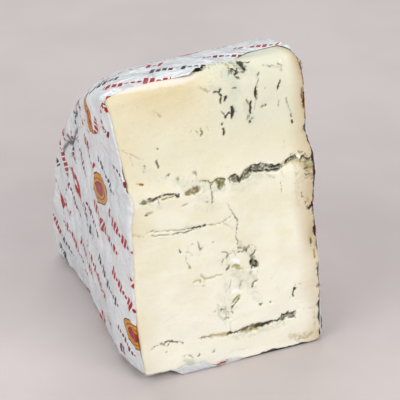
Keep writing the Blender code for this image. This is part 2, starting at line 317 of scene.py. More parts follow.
# ---- Meshes -----------------------------------------------------------------------------------
def build_mesh(name, points, faces, attributes, material):
    """Piece of the part from points in millimetres, with one value a point for each attribute."""
    mesh = bpy.data.meshes.new(name)
    mesh.from_pydata(((points - ORIGIN) * MM).tolist(), [], faces)
    for key, values in attributes.items():
        layer = mesh.attributes.new(key, "FLOAT", "POINT")
        layer.data.foreach_set("value", np.asarray(values, np.float32))
    mesh.shade_smooth()
    mesh.materials.append(material)
    item = bpy.data.objects.new(name, mesh)
    bpy.context.collection.objects.link(item)
    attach(item, "root")
    return item


def grid_faces(index):
    """Quads over a grid of point numbers, rows by columns."""
    a, b = index[:-1, :-1], index[:-1, 1:]
    c, d = index[1:, 1:], index[1:, :-1]
    return np.stack([a, b, c, d], -1).reshape(-1, 4)


# ---- Materials --------------------------------------------------------------------------------
def linear(red, green, blue):
    """Linear colour from a screen colour of 0 to 255."""
    return tuple((value / 255.0) ** 2.2 for value in (red, green, blue)) + (1.0,)


class Graph:
    """Short calls for the nodes of a material."""

    def __init__(self, name):
        self.material = bpy.data.materials.new(name)
        self.material.use_nodes = True
        self.tree = self.material.node_tree
        self.shader = self.tree.nodes["Principled BSDF"]

    def node(self, kind, values=None, **settings):
        """New node with settings, and values or links for its inputs."""
        made = self.tree.nodes.new(kind)
        for key, value in settings.items():
            setattr(made, key, value)
        for key, value in (values or {}).items():
            self.feed(made.inputs[key], value)
        return made

    def feed(self, socket, value):
        """Link a socket to an output, or set its value."""
        if isinstance(value, bpy.types.NodeSocket):
            self.tree.links.new(value, socket)
        else:
            socket.default_value = value

    def maths(self, operation, first, second=0.0, third=0.0):
        """Math node's result."""
        made = self.node("ShaderNodeMath", {0: first, 1: second, 2: third}, operation=operation)
        return made.outputs[0]

    def ramp(self, value, start, end):
        """0 below the start, 1 above the end and smooth between."""
        made = self.node("ShaderNodeMapRange", {"Value": value, "From Min": start, "From Max": end},
                         interpolation_type="SMOOTHSTEP")
        return made.outputs[0]

    def blend(self, share, first, second):
        """Colour between two colours."""
        made = self.node("ShaderNodeMix", data_type="RGBA")
        self.feed(made.inputs[0], share)
        self.feed(made.inputs[6], first)
        self.feed(made.inputs[7], second)
        return made.outputs[2]

    def value(self, name):
        """Value of a mesh attribute."""
        return self.node("ShaderNodeAttribute", attribute_name=name).outputs["Fac"]

    def share(self, name, most):
        """A mesh attribute's value times the most it may count."""
        return self.maths("MULTIPLY", self.value(name), most)

    def speckle(self, scale, detail=3.0):
        """Noise texture in the object's own space."""
        place = self.node("ShaderNodeTexCoord").outputs["Object"]
        made = self.node("ShaderNodeTexNoise", {"Vector": place, "Scale": scale, "Detail": detail})
        return made.outputs[0]

    def ridges(self, scale, stretch, width):
        """Thin raised lines where a stretched noise crosses its middle value."""
        place = self.node("ShaderNodeTexCoord").outputs["Object"]
        turned = self.node("ShaderNodeMapping", {"Vector": place, "Scale": stretch,
                                                 "Rotation": (0.5, 0.0, 0.3)}).outputs[0]
        made = self.node("ShaderNodeTexNoise", {"Vector": turned, "Scale": scale, "Detail": 2.0})
        apart = self.maths("ABSOLUTE", self.maths("SUBTRACT", made.outputs[0], 0.5))
        return self.maths("SUBTRACT", 1.0, self.ramp(apart, 0.0, width))

    def chance(self, first, second, third):
        """Even random number for three whole numbers."""
        place = self.node("ShaderNodeCombineXYZ", {0: first, 1: second, 2: third})
        return self.node("ShaderNodeTexWhiteNoise",
                         {"Vector": place.outputs[0]}).outputs["Value"]

    def lattice(self, value, pitch):
        """Number of the cell a value lies in, and its distance from the cell's middle."""
        cell = self.maths("FLOOR", self.maths("DIVIDE", value, pitch))
        inside = self.maths("WRAP", value, pitch, 0.0)
        return cell, self.maths("SUBTRACT", inside, pitch / 2)

    def bands(self, value, steps):
        """Colour of the first (end, colour) step that the value lies under."""
        colour = steps[-1][1]
        for end, shade in steps[-2::-1]:
            colour = self.blend(self.maths("LESS_THAN", value, end), colour, shade)
        return colour

    def length(self, first, second):
        """Length of a flat vector."""
        total = self.maths("MULTIPLY_ADD", first, first, self.maths("MULTIPLY", second, second))
        return self.maths("SQRT", total)

    def pick(self, share, off, on):
        """The first value at a share of 0 and the second at 1."""
        made = self.node("ShaderNodeMix", {0: share, 2: off, 3: on}, data_type="FLOAT")
        return made.outputs[0]

    def bump(self, height, strength, distance):
        """Bump from a height."""
        made = self.node("ShaderNodeBump", {"Height": height, "Strength": strength,
                                            "Distance": distance})
        return made.outputs[0]


# ---- Cheese: what shows on the cut face ---------------------------------------------------------
# Strokes of mould and cracks, read off the photograph: kind, strength, depth in millimetres,
# then points (column, row, half width) in the photograph's pixels.
STROKES = (
    # Body of the main vein.
    ("olive", 0.45, 0.3, ((141.6, 203.7, 1.6), (147.1, 201.5, 2.2), (152.6, 200.6, 2),
        (158, 201.4, 1.2))),
    ("dark", 0.7, 0.4, ((147.9, 199, 0.6), (151.8, 199.3, 0.6))),
    ("dark", 0.75, 0.5, ((153.5, 200.6, 0.6), (157.5, 198.2, 0.6), (161, 196, 0.8),
        (164, 195, 0.6), (170.8, 193.8, 0.6), (175.5, 194.5, 0.6), (179.5, 195, 0.6))),
    ("dark", 0.9, 0.6, ((176.6, 196.6, 1), (178.5, 196.8, 1))),
    ("olive", 0.6, 0.4, ((162, 200, 0.6), (166, 198.6, 0.8), (171.6, 196.8, 0.6))),
    ("dark", 0.6, 0.3, ((156.6, 199.7, 0.6), (159, 203.7, 0.6))),
    ("olive", 0.42, 0.3, ((187.4, 193.2, 2.6), (192, 191.6, 3.2), (196.6, 190.2, 3.4),
        (198.6, 189.2, 2.6))),
    ("grey", 0.5, 0.2, ((167.4, 175.6, 1.4), (169.4, 174.6, 1.2))),
    ("grey", 0.45, 0.1, ((194.6, 172.6, 1.6), (196.2, 175.4, 1.2))),
    ("grey", 0.35, 0.1, ((177.4, 178, 1.4), (178.6, 182, 1.4))),
    ("grey", 0.5, 0.1, ((144.8, 165.8, 1), (145.6, 168, 0.8))),
    ("grey", 0.4, 0, ((183.6, 205.4, 1), (187.4, 203.4, 0.8))),
    ("tan", 0.7, 0.1, ((147, 213.4, 1.6), (151, 212.6, 1.2))),
    ("brown", 0.5, 0.3, ((141.8, 185.2, 0.8), (143.6, 185.4, 0.8))),
    ("grey", 0.45, 0.2, ((200.5, 181.3, 0.6), (206.8, 181, 0.8), (211, 183.4, 1),
        (214.6, 181.4, 0.6))),
    ("haze", 0.5, 0, ((203, 186, 2.6), (209, 187.4, 3.2), (213, 190.5, 2.2))),
    ("dark", 0.7, 0.4, ((211.6, 185.9, 0.8), (211.5, 189.4, 1))),
    ("grey", 0.6, 0.3, ((212.4, 193.4, 0.8), (212.8, 197.2, 1), (213.2, 203, 0.8))),
    ("grey", 0.45, 0.2, ((207.6, 202, 1.2), (208.6, 202.6, 0.8))),
    ("olive", 0.55, 0.4, ((217.6, 181.6, 2.2), (220.4, 183.2, 3), (222.6, 184.6, 2.2))),
    ("grey", 0.6, 0.4, ((219.4, 186.6, 1.6), (220.4, 188.8, 1.4))),
    ("grey", 0.75, 0.5, ((230.6, 179.6, 2.2), (234.6, 177.6, 3.2), (238.2, 178.4, 2.4))),
    ("dark", 0.7, 0.5, ((229.6, 178.6, 0.6), (233.4, 174.8, 0.6), (238.2, 176.2, 0.6),
        (239, 179.6, 0.6), (235, 182.2, 0.8))),
    ("grey", 0.75, 0.5, ((242.6, 176.4, 2.4), (246.6, 172.6, 3), (250.6, 168.6, 2.6))),
    ("grey", 0.65, 0.5, ((270.5, 170, 2.4), (277.5, 168.5, 2.6), (282, 166.5, 1.6))),
    ("grey", 0.55, 0.4, ((286, 163.5, 1.4), (290, 159.5, 2), (295, 156.5, 1.8))),
    ("grey", 0.4, 0.2, ((300.5, 158.5, 1.6), (305.5, 157.5, 2), (310, 159, 1.6))),
    # Body of the lower vein.
    ("tan", 0.5, 0.1, ((203, 338, 1.4), (213, 336.5, 2), (226, 334.5, 2.2), (232, 333, 1.6))),
    ("olive", 0.5, 0.3, ((234.8, 332, 1), (240.6, 330.8, 1.4), (246.7, 328.6, 2.2),
        (254.6, 326.6, 2.6), (261, 325, 2))),
    ("grey", 0.65, 0.4, ((256, 326, 1.6), (262.5, 324.5, 2.2), (268.4, 322.6, 1.8),
        (274.4, 320.8, 1))),
    ("dark", 0.6, 0.4, ((262.5, 324.3, 1), (268.4, 322.3, 1), (272, 321, 0.6))),
    ("tan", 0.7, 0.1, ((240, 331.6, 1.4), (247, 331.2, 1.8), (255.6, 329, 1.6))),
    ("grey", 0.6, 0.3, ((279.6, 319.8, 1.2), (284, 316.4, 1.8), (288, 313, 1.6),
        (293.6, 312.8, 1))),
    ("grey", 0.5, 0.2, ((282.4, 320.8, 0.8), (284.6, 318.6, 1))),
    ("grey", 0.5, 0.3, ((288, 316.8, 1), (294.4, 316.4, 1), (295.4, 313, 0.6))),
    # Soft shade round the veins.
    ("haze", 0.5, 0, ((240, 66, 4), (250, 70, 5), (258, 74, 4))),
    ("tan", 0.55, 0, ((293, 160, 3), (300, 160, 4), (307, 163, 4), (309, 170, 3))),
    ("moss", 0.2, 0, ((299, 165, 4), (299, 174, 5), (302, 182, 4))),
    ("tan", 0.5, 0, ((281, 167, 2), (286, 163, 2.4), (291, 160, 2))),
    ("brown", 0.6, 0.3, ((285.6, 163.6, 0.8), (287, 161.4, 0.8))),
    ("grey", 0.5, 0.3, ((299.4, 151.4, 1), (302, 152.6, 1))),
    ("grey", 0.5, 0.3, ((303.4, 156, 1), (305.6, 157.6, 1), (308, 158.4, 0.8))),
    ("haze", 0.45, 0, ((178, 182, 5), (192, 186, 6), (206, 184, 5), (222, 190, 4))),
    ("haze", 0.35, 0, ((142, 200, 5), (150, 206, 5), (160, 206, 4))),
    ("haze", 0.35, 0, ((186, 226, 4), (196, 230, 4))),
    ("haze", 0.4, 0, ((228, 258, 4), (240, 270, 5), (250, 286, 5), (258, 298, 4))),
    ("haze", 0.4, 0, ((236, 336, 4), (250, 334, 4), (266, 328, 4), (284, 322, 4))),
    ("tan", 0.4, 0, ((292, 336, 4), (300, 338, 4), (306, 334, 3))),
    # Soft clumps that go round the sharp marks.
    ("haze", 0.3, 0, ((220, 258, 6), (236, 268, 8), (244, 280, 8))),
    ("haze", 0.3, 0, ((222, 296, 6), (232, 306, 8), (228, 318, 6))),
    ("grey", 0.75, 0.4, ((253.5, 261, 2.4), (256, 265.5, 2.2))),
    ("grey", 0.5, 0.2, ((240, 247.5, 1.2), (246, 249.5, 1.4), (249.5, 246.5, 1.2))),
    ("grey", 0.35, 0.1, ((224.5, 308.5, 1.8), (228, 313.5, 1.8))),
    ("haze", 0.4, 0, ((198, 196, 3), (206, 200, 3.4), (212, 206, 3))),
    ("dark", 0.85, 0.5, ((242.5, 62, 1), (245, 66, 1.6), (246.5, 70, 1.2))),
    ("grey", 0.5, 0.1, ((241.5, 68, 1.6), (245, 71.5, 2.2), (248.5, 66, 1.2))),
    ("dark", 0.75, 0.4, ((231, 74, 0.6), (234, 70.5, 0.8), (238, 74, 0.8), (235, 76.5, 0.6),
        (238, 78.5, 0.6))),
    ("dark", 0.7, 0.3, ((239, 68.5, 0.6), (237.5, 72.5, 0.6))),
    ("grey", 0.35, 0.1, ((236.4, 63.6, 2.4), (239.6, 70, 3), (243.6, 62.6, 1.6))),
    ("haze", 0.5, 0, ((228, 78, 3.4), (234, 84, 4), (240, 92, 3))),
    ("haze", 0.3, 0, ((143, 166, 5), (152, 174, 6), (160, 182, 4))),
    ("haze", 0.3, 0, ((196, 206, 3), (206, 210, 4), (222, 206, 3.4))),
    ("haze", 0.28, 0, ((232, 190, 4), (246, 188, 4), (258, 182, 3))),
    ("haze", 0.35, 0, ((222, 96, 4), (232, 108, 5))),
    ("grey", 0.4, 0.1, ((308, 162, 1.6), (312, 166, 1.8), (314, 172, 1.6), (312, 178, 1.4))),
    # The crumbled lump on the top edge.
    ("moss", 0.8, 0, ((205, 62, 1.2), (208, 60, 1.6), (211, 62, 1))),
    ("moss", 0.7, 0, ((216, 55, 0.8), (219, 58, 1.2))),
    ("grey", 0.6, 0.2, ((213, 56, 1), (217, 57, 1))),
    ("grey", 0.7, 0.2, ((203, 63, 0.8), (204, 64, 0.6))),
    ("grey", 0.5, 0.1, ((216, 61, 0.6), (217.5, 63, 0.6))),
    ("tan", 0.8, 0.2, ((208, 66.5, 1), (212, 70, 1))),
    ("ochre", 0.35, 0, ((225, 63, 1.2), (231, 66, 1.6))),
    # Painted shadow in the gap under the foil's edge.
    ("brown", 1, 0.5, ((222, 61, 0.6), (227, 59.5, 1.2), (232, 57.5, 1), (237, 55.5, 0.6))),
    # Painted shadow under the foil's lifted edge, with some crumbs in it.
    ("dark", 1, 0.6, ((190, 70.8, 0.4), (196, 70, 0.6), (201, 69, 1), (205, 68.2, 1.6))),
    ("grey", 0.6, 0.2, ((196, 63.5, 1.6), (199, 65, 1.2), (201, 64, 0.8))),
    ("brown", 0.4, 0.1, ((200, 66.5, 0.6), (202, 67, 0.6))),
    # The broken right edge.
    # These brown strokes are a painted orange-brown reflection of the board on the edge.
    ("brown", 0.9, 0.3, ((303, 88, 0.6), (303.5, 97, 1), (304.5, 101.5, 0.6))),
    ("brown", 0.8, 0.2, ((304.5, 104.5, 1), (304, 108, 0.6))),
    ("brown", 0.7, 0.2, ((305, 113, 0.6), (305, 117, 1.2))),
    ("dark", 0.8, 0.4, ((306, 118, 0.6), (306, 124.5, 1), (307, 130, 0.6))),
    ("dark", 0.7, 0.3, ((306.5, 134.5, 0.6), (308.5, 139.5, 1.2), (309.5, 143.5, 0.6))),
    # Painted shadow in the gap between the paste and the foil.
    ("dark", 0.9, 0.5, ((311, 146.5, 0.8), (312.5, 153, 1), (314, 160, 1.4), (314, 167, 1))),
    ("dark", 0.9, 0.5, ((314.5, 169.5, 1.4), (315, 176.5, 1.2), (314.5, 183.5, 1.6),
        (314, 187, 0.6))),
    ("dark", 0.7, 0.3, ((313, 190, 0.6), (313, 195.5, 1), (313.5, 199.5, 0.6))),
    ("dark", 0.6, 0.2, ((313.5, 204.5, 0.8), (313.5, 210.5, 1))),
    ("brown", 0.7, 0.2, ((314.5, 216.5, 0.8), (315, 222, 1))),
    ("dark", 0.6, 0.2, ((315.5, 227, 0.6), (316, 232, 1), (316.5, 235.5, 0.6))),
    ("brown", 0.6, 0.2, ((317, 244.5, 0.8), (317.5, 248.5, 1))),
    ("brown", 0.5, 0.1, ((318.5, 262.5, 0.8), (319, 267.5, 1))),
    ("brown", 0.5, 0.1, ((319.5, 294.5, 0.8), (320, 301.5, 1.2), (319.5, 305.5, 0.6))),
    ("dark", 0.5, 0.1, ((320, 313, 0.8), (320, 318, 1))),
    # Main vein, left part.
    ("grey", 0.45, 0.3, ((142, 203.5, 1.3), (145, 202.6, 1.6), (148, 202, 1.3))),
    ("olive", 0.75, 0.5, ((147.6, 199.8, 0.8), (150, 199.6, 1))),
    ("olive", 0.8, 0.5, ((150.5, 201.5, 0.7), (154, 200, 0.9), (157.5, 198.5, 0.9),
        (161.5, 197.2, 0.6))),
    ("olive", 0.6, 0.3, ((156, 201, 0.5), (158.6, 203.2, 0.6))),
    ("tan", 0.5, 0.1, ((144, 204.6, 1), (152, 204.2, 0.8))),
    ("olive", 0.75, 0.5, ((162, 195.4, 0.6), (166, 194.6, 0.8), (171, 194.2, 0.8),
        (175, 194.9, 0.6), (178.5, 194.4, 0.6))),
    ("olive", 0.65, 0.4, ((161.5, 198, 0.5), (164.5, 199.4, 0.8), (168, 198, 0.7),
        (172, 196.6, 0.6), (175.6, 196, 0.5))),
    ("dark", 0.85, 0.7, ((176.6, 196.8, 0.8), (178, 197.4, 1))),
    # Pale crumbs at the vein's edge, with painted highlight.
    ("crumb_highlight", 0.5, -0.2, ((152.5, 203.2, 0.7), (155.5, 202.4, 0.8))),
    ("crumb_highlight", 0.4, -0.1, ((181, 195.6, 0.9),)),
    ("tan", 0.35, 0.1, ((181, 206.2, 1), (187.5, 203.8, 0.8))),
    # Main vein, olive blobs and the knots beside them.
    ("tan", 0.75, 0.3, ((186.5, 193.4, 1.6), (190, 192.8, 2.3), (194.5, 191.6, 2.6),
        (198, 189, 1.6))),
    ("olive", 0.55, 0.5, ((188, 191, 0.5), (187, 193.5, 0.6))),
    ("olive", 0.5, 0.5, ((191.6, 190, 0.5), (191, 194.6, 0.6))),
    ("olive", 0.6, 0.6, ((194.8, 188.6, 0.6), (194.2, 193.6, 0.7))),
    ("olive", 0.7, 0.6, ((197.8, 187.2, 0.7), (198.2, 189.6, 0.7))),
    ("grey", 0.5, 0.3, ((195.8, 172.6, 1.1), (196, 175, 1))),
    ("haze", 0.5, 0, ((196, 176, 1), (197.4, 180, 1), (199, 182, 1))),
    ("brown", 0.35, 0.2, ((192.8, 181.4, 0.8),)),
    ("brown", 0.5, 0.3, ((200.2, 181.2, 0.6), (203, 180.9, 0.6), (206, 181.1, 0.7),
        (208.6, 182.8, 0.6), (212, 183.9, 0.5))),
    ("brown", 0.5, 0.2, ((215.4, 180.6, 0.5), (212.4, 183.4, 0.6), (211.2, 186.4, 0.6),
        (212.6, 187.6, 0.5))),
    ("haze", 0.6, 0, ((203, 184, 1.6), (206, 188, 2.2), (204, 192, 1.5))),
    ("dark", 0.75, 0.5, ((211.3, 189.4, 0.8),)),
    ("grey", 0.45, 0.2, ((212.2, 191, 0.6), (213.2, 194, 0.7))),
    ("grey", 0.6, 0.3, ((212.6, 196.4, 0.9), (213.2, 198, 0.7))),
    ("grey", 0.3, 0.1, ((213.6, 200, 0.6), (215.2, 204, 0.7))),
    ("brown", 0.45, 0.2, ((208.5, 202, 0.9),)),
    ("tan", 0.3, 0, ((199.5, 200.4, 1.1),)),
    ("olive", 0.8, 0.5, ((215, 180.6, 0.6), (217.6, 179, 0.9), (221, 178.4, 1),
        (225, 179.4, 0.8))),
    ("moss", 0.9, 0.5, ((218.6, 181.6, 1.6), (221.6, 182.2, 2.2))),
    ("dark", 0.7, 0.4, ((219.3, 183.2, 0.6),)),
    ("olive", 0.6, 0.5, ((224.2, 180.6, 0.7), (223.6, 183.6, 0.8), (222.4, 185.8, 0.9))),
    ("grey", 0.7, 0.6, ((219.8, 186.6, 0.8), (220.6, 188.8, 1))),
    ("haze", 0.6, 0, ((214, 187, 1.2), (218, 189, 1.6), (223, 190.4, 1.2))),
    ("grey", 0.5, 0.4, ((227.4, 179, 0.7), (229.6, 178.2, 0.9))),
    ("grey", 0.6, 0.9, ((231, 178.6, 2.2), (235, 179, 2.6), (238, 180, 1.6))),
    ("dark", 0.75, 0.8, ((231, 176.6, 0.7), (233, 175, 0.7), (235.6, 175.2, 0.7),
        (238, 176.8, 0.7), (239, 179, 0.6))),
    ("dark", 0.55, 0.6, ((231.6, 177.6, 0.5), (233.6, 177.4, 0.5), (235.6, 178.4, 0.5),
        (234.4, 180, 0.5))),
    ("dark", 0.7, 0.7, ((240.8, 178.8, 0.7), (239, 181.2, 0.9), (236.6, 181.8, 0.7))),
    ("grey", 0.7, 0.5, ((234, 181, 0.7), (233.6, 183, 0.7))),
    ("haze", 0.6, 0, ((229, 182, 1.2), (235, 184.6, 1.2), (243, 182, 1.2))),
    ("haze", 0.5, 0, ((232, 186, 1), (236, 189.6, 1.2), (244, 190, 1.2))),
    ("haze", 0.35, 0, ((228, 166.6, 1), (226.8, 171, 1), (228.4, 174.4, 0.9))),
    # Main vein, rising part and the wide crevice.
    ("grey", 0.6, 0.9, ((242.6, 177, 1.8), (245.6, 174.2, 2.8), (248.6, 170.4, 2.6))),
    ("dark", 0.75, 0.8, ((241.4, 178.4, 0.8), (242.2, 176.4, 0.6), (243, 174, 0.5))),
    ("dark", 0.9, 0.9, ((247.6, 172.8, 0.6), (249.6, 170.8, 0.9), (251.4, 168, 0.9))),
    ("grey", 0.7, 0.6, ((243, 178.4, 0.6), (247, 177.8, 0.8), (249.6, 175, 0.8))),
    ("dark", 0.6, 0.4, ((248.2, 167.6, 0.7),)),
    ("grey", 0.5, 0.5, ((245.4, 172, 0.5), (246.6, 175, 0.5))),
    ("grey", 0.7, 0.8, ((251, 169, 2.6), (256, 168.4, 3), (262, 167.8, 3.4), (268, 168, 3.2),
        (274, 168, 2.6), (280, 167, 1.8))),
    ("pale", 0.7, 0.6, ((262, 166.2, 1.2), (265, 168.4, 1.2), (268, 168.8, 0.9))),
    ("pale", 0.5, 0.4, ((254, 168, 0.9), (257.6, 170, 0.8))),
    ("dark", 0.8, 1, ((251.4, 165.6, 0.6), (254, 164.8, 0.6), (257.6, 165.6, 0.6), (260, 165, 0.6),
        (261.2, 163.5, 0.8))),
    ("dark", 0.8, 1, ((250.6, 171.2, 1), (251, 169.4, 0.9))),
    ("dark", 0.7, 1, ((252, 167.4, 0.5), (255, 168.4, 0.6), (258.4, 170.6, 0.5))),
    ("dark", 0.65, 0.8, ((257, 167.4, 0.5), (260.6, 168.8, 0.6), (264.4, 167.8, 0.5),
        (266.6, 166, 0.5))),
    ("dark", 0.9, 1.2, ((253.6, 171, 0.6), (256.6, 172.2, 0.7), (259.4, 171.8, 0.9),
        (262.6, 171.4, 0.6))),
    ("dark", 0.85, 1.2, ((263, 170, 0.5), (265.4, 170.2, 0.6), (267.4, 171, 0.9),
        (270, 172, 0.9))),
    ("dark", 0.85, 1.2, ((270, 172, 0.8), (272.6, 171, 0.6), (274.6, 170.6, 0.9),
        (277, 169.8, 0.7), (280, 170, 0.6))),
    ("dark", 0.85, 1.2, ((270.4, 168.8, 0.6), (273.4, 167.6, 0.9), (277, 166.8, 0.8),
        (280.4, 165.8, 0.7))),
    ("grey", 0.6, 0.7, ((262.6, 164.6, 0.6), (266, 164.6, 0.6), (269, 166, 0.7), (274, 166.8, 0.6),
        (280, 164.8, 0.6))),
    # Pale crumbs along the crevice, with painted highlight.
    ("crumb_highlight", 0.6, -0.3, ((256, 162.6, 0.7), (262, 162, 0.6), (268, 163, 0.8), (274, 163.6, 0.7))),
    ("crumb_highlight", 0.5, -0.2, ((263, 172.6, 0.6), (269, 173.4, 0.8), (275, 172, 0.7))),
    ("haze", 0.7, 0, ((246, 168, 2), (252, 176, 2.2), (262, 176, 1.6), (246, 180, 1.6))),
    ("moss", 0.4, 0.1, ((264, 173.6, 0.8), (269, 175.6, 1.1), (274.6, 177.6, 1.4))),
    ("tan", 0.45, 0.2, ((281.2, 171, 0.6), (283.4, 176.8, 0.7))),
    ("tan", 0.6, 0.6, ((281.6, 166, 1.4), (284.6, 164.4, 1.5))),
    ("dark", 0.8, 0.9, ((286.2, 163.8, 0.8), (287.4, 161, 0.8))),
    ("grey", 0.55, 0.5, ((288, 162, 1), (291, 160.4, 1), (295, 158, 1))),
    ("dark", 0.7, 0.6, ((288.6, 159.6, 0.5), (290.6, 157.4, 0.6), (293.4, 157.8, 0.5),
        (295.4, 156, 0.6), (297.2, 158, 0.5))),
    ("grey", 0.6, 0.4, ((290.6, 154.6, 0.5), (292.4, 153.4, 0.5), (293.8, 154.4, 0.4))),
    ("brown", 0.7, 0.3, ((298.4, 150.6, 0.5), (300.4, 152.4, 0.6), (302.4, 151.6, 0.5))),
    ("crumb_highlight", 0.7, -0.3, ((297.6, 155.2, 0.9), (299.4, 157.4, 1))),
    ("dark", 0.85, 0.8, ((301, 159.4, 0.6), (301.8, 157, 0.8), (303.6, 155.8, 0.8),
        (305.2, 157.6, 0.7), (307.4, 159.8, 0.6))),
    ("grey", 0.6, 0.4, ((299.8, 160.6, 0.7), (301.4, 162, 0.7))),
    ("dark", 0.7, 0.5, ((307.4, 159.4, 0.5), (309.6, 158.2, 0.6), (311.4, 156.8, 0.7))),
    ("dark", 0.55, 0.3, ((305, 153.4, 0.6), (306.4, 155, 0.5))),
    ("grey", 0.5, 0.3, ((300.4, 162.4, 0.6), (305, 161.8, 1), (310, 160.6, 0.8))),
    ("brown", 0.7, 0.4, ((306.6, 164.8, 0.6), (307.4, 166.4, 0.7))),
    ("brown", 0.75, 0.4, ((304.6, 168, 0.9), (308.4, 167.8, 0.6), (311, 167, 0.7))),
    ("brown", 0.6, 0.4, ((307, 170.6, 0.8),)),
    ("olive", 0.6, 0.4, ((305.4, 173.6, 0.5), (306.4, 175.6, 0.7), (308, 174.4, 0.6))),
    ("olive", 0.5, 0.3, ((309.6, 172.8, 0.6), (309.2, 176.4, 0.6))),
    ("brown", 0.55, 0.3, ((305.6, 178, 0.6), (309, 177.8, 0.7))),
    ("grey", 0.35, 0.2, ((304, 162, 1.2), (307, 170, 1.6), (310.6, 176, 1.2))),
    ("tan", 0.35, 0.1, ((298, 181, 0.6), (304, 183.4, 0.8))),
    ("grey", 0.55, 0.3, ((281.5, 183, 0.5), (282.5, 187.6, 0.6), (282.4, 191.4, 0.5))),
    # Needle channel: twin lines that end in a dark slot.
    ("tan", 0.4, 0.2, ((132, 235, 1), (137, 236, 1.2), (143, 237, 1))),
    ("grey", 0.5, 0.4, ((147, 234, 0.5), (152.5, 231.9, 0.5), (160, 231.6, 0.5), (170, 231, 0.6),
        (180, 230, 0.5), (188, 228.8, 0.6), (195, 228, 0.7))),
    ("dark", 0.8, 0.8, ((192.5, 229.2, 0.5), (196, 227.8, 0.9), (201, 227, 0.9))),
    ("dark", 0.9, 0.8, ((203.2, 225.8, 0.7), (205, 225.2, 0.8))),
    ("grey", 0.5, 0.4, ((152, 236.4, 0.5), (160, 236, 0.5), (168, 235.2, 0.5),
        (173.6, 234.4, 0.5))),
    ("grey", 0.65, 0.4, ((173.6, 234.2, 0.5), (178, 232.8, 0.6), (184, 232.8, 0.6),
        (190, 231.2, 0.8), (194.6, 229.8, 0.7))),
    ("haze", 0.5, 0, ((156, 238.6, 0.7), (167, 238, 0.7))),
    ("crumb_highlight", 0.35, -0.1, ((154, 234, 0.6), (163, 233.6, 0.7), (172, 232.8, 0.6))),
    ("grey", 0.45, 0.3, ((203, 226.4, 0.6), (209, 225.6, 0.6), (218.6, 224, 0.6),
        (224, 221.4, 0.6), (230, 217, 0.5))),
    ("grey", 0.3, 0.2, ((224, 223.4, 0.5), (229, 225.6, 0.5), (233, 230, 0.5))),
    # Upright crack.
    ("grey", 0.45, 0.3, ((226.8, 203, 0.5), (229.4, 207.6, 0.6), (232.6, 212.6, 0.6))),
    ("grey", 0.65, 0.4, ((232.6, 212.6, 0.6), (235.4, 217, 0.8), (237.2, 220.6, 0.8))),
    ("grey", 0.55, 0.4, ((237.2, 220.6, 0.6), (238, 226, 0.6), (236.4, 231, 0.6),
        (236.8, 236, 0.7), (238, 241, 0.8), (238.4, 249, 0.7))),
    ("haze", 0.7, 0, ((240.6, 241.4, 1.2), (241.4, 246, 1.6))),
    # Mould cluster in the middle.
    ("grey", 0.55, 0.3, ((221.4, 252.5, 0.6), (223.6, 251.5, 0.9), (226.2, 252.6, 0.8),
        (228, 254.6, 0.6))),
    ("grey", 0.45, 0.3, ((228.4, 255, 0.9), (231.6, 254.4, 1))),
    ("grey", 0.5, 0.3, ((233.8, 251.6, 0.8), (235.4, 255.4, 0.9))),
    ("dark", 0.55, 0.5, ((238.8, 252.8, 0.8), (241.4, 252.6, 0.9), (243.2, 252.2, 0.7),
        (244.6, 250.4, 0.6))),
    ("grey", 0.6, 0.4, ((244.4, 247.4, 0.9), (245.8, 249.2, 0.8))),
    ("dark", 0.6, 0.5, ((247.4, 249.8, 0.7), (246.4, 251.6, 0.7))),
    ("grey", 0.35, 0.1, ((249.8, 246, 0.6), (252.6, 245.2, 0.7), (255.6, 247.6, 0.7),
        (256, 249.4, 0.6))),
    ("grey", 0.3, 0.1, ((247, 251, 0.5), (248.6, 254, 0.5), (251, 256.6, 0.5))),
    ("grey", 0.3, 0.1, ((250.4, 248, 0.5), (252.8, 252, 0.5))),
    ("dark", 0.8, 0.6, ((256, 250.6, 0.9), (254.6, 253, 0.8), (252.4, 254.8, 0.6))),
    ("grey", 0.55, 0.5, ((251.4, 256.4, 1.2), (254, 259, 2.2), (255, 263, 2.2))),
    ("moss", 0.45, 0.1, ((254, 262, 1.2), (254.4, 265, 1.4))),
    ("dark", 0.95, 1.2, ((251, 260.6, 0.9), (251.6, 262.6, 1.2), (252.2, 264.4, 0.9))),
    ("dark", 0.9, 1, ((256.4, 261.6, 0.9), (257.2, 263.4, 0.8))),
    ("dark", 0.75, 0.8, ((253.2, 265.8, 0.7), (255.6, 266.3, 0.7), (257.6, 266.2, 0.7))),
    ("brown", 0.6, 0.6, ((259, 263.6, 0.7), (258.8, 265.6, 0.8))),
    ("dark", 0.9, 1, ((252.4, 267, 0.7), (252.6, 268.8, 0.8))),
    ("haze", 0.5, 0, ((240, 249, 2.4), (248, 252, 3), (252, 256, 2.4))),
    ("grey", 0.5, 0.3, ((227.2, 256.4, 0.9), (227, 258.6, 0.8))),
    ("grey", 0.55, 0.3, ((223.6, 259.8, 0.8), (222.8, 262.6, 1.1))),
    ("haze", 0.7, 0, ((222.4, 262, 1.2), (221.4, 265, 1.1))),
    ("crumb_highlight", 0.9, -0.4, ((233, 260.4, 1.7), (236, 261, 2), (239, 262.4, 1.4))),
    ("moss", 0.4, 0.1, ((226.6, 265.2, 1), (229.6, 265.2, 0.9))),
    ("olive", 0.6, 0.4, ((230.2, 265.8, 0.9), (228.8, 268, 1.1), (226.8, 269.6, 0.9))),
    ("haze", 0.6, 0, ((226, 271, 0.9),)),
    ("moss", 0.85, 0.2, ((233.4, 266.2, 1.1), (236.4, 265.6, 1.5), (239.4, 265.8, 1.1))),
    ("moss", 0.7, 0.2, ((236.8, 268.2, 1.1), (239.6, 268.6, 1.2))),
    ("grey", 0.35, 0.1, ((241, 268.3, 0.6), (245, 268.5, 0.7))),
    ("crumb_highlight", 0.9, -0.2, ((248.4, 270.2, 0.8),)),
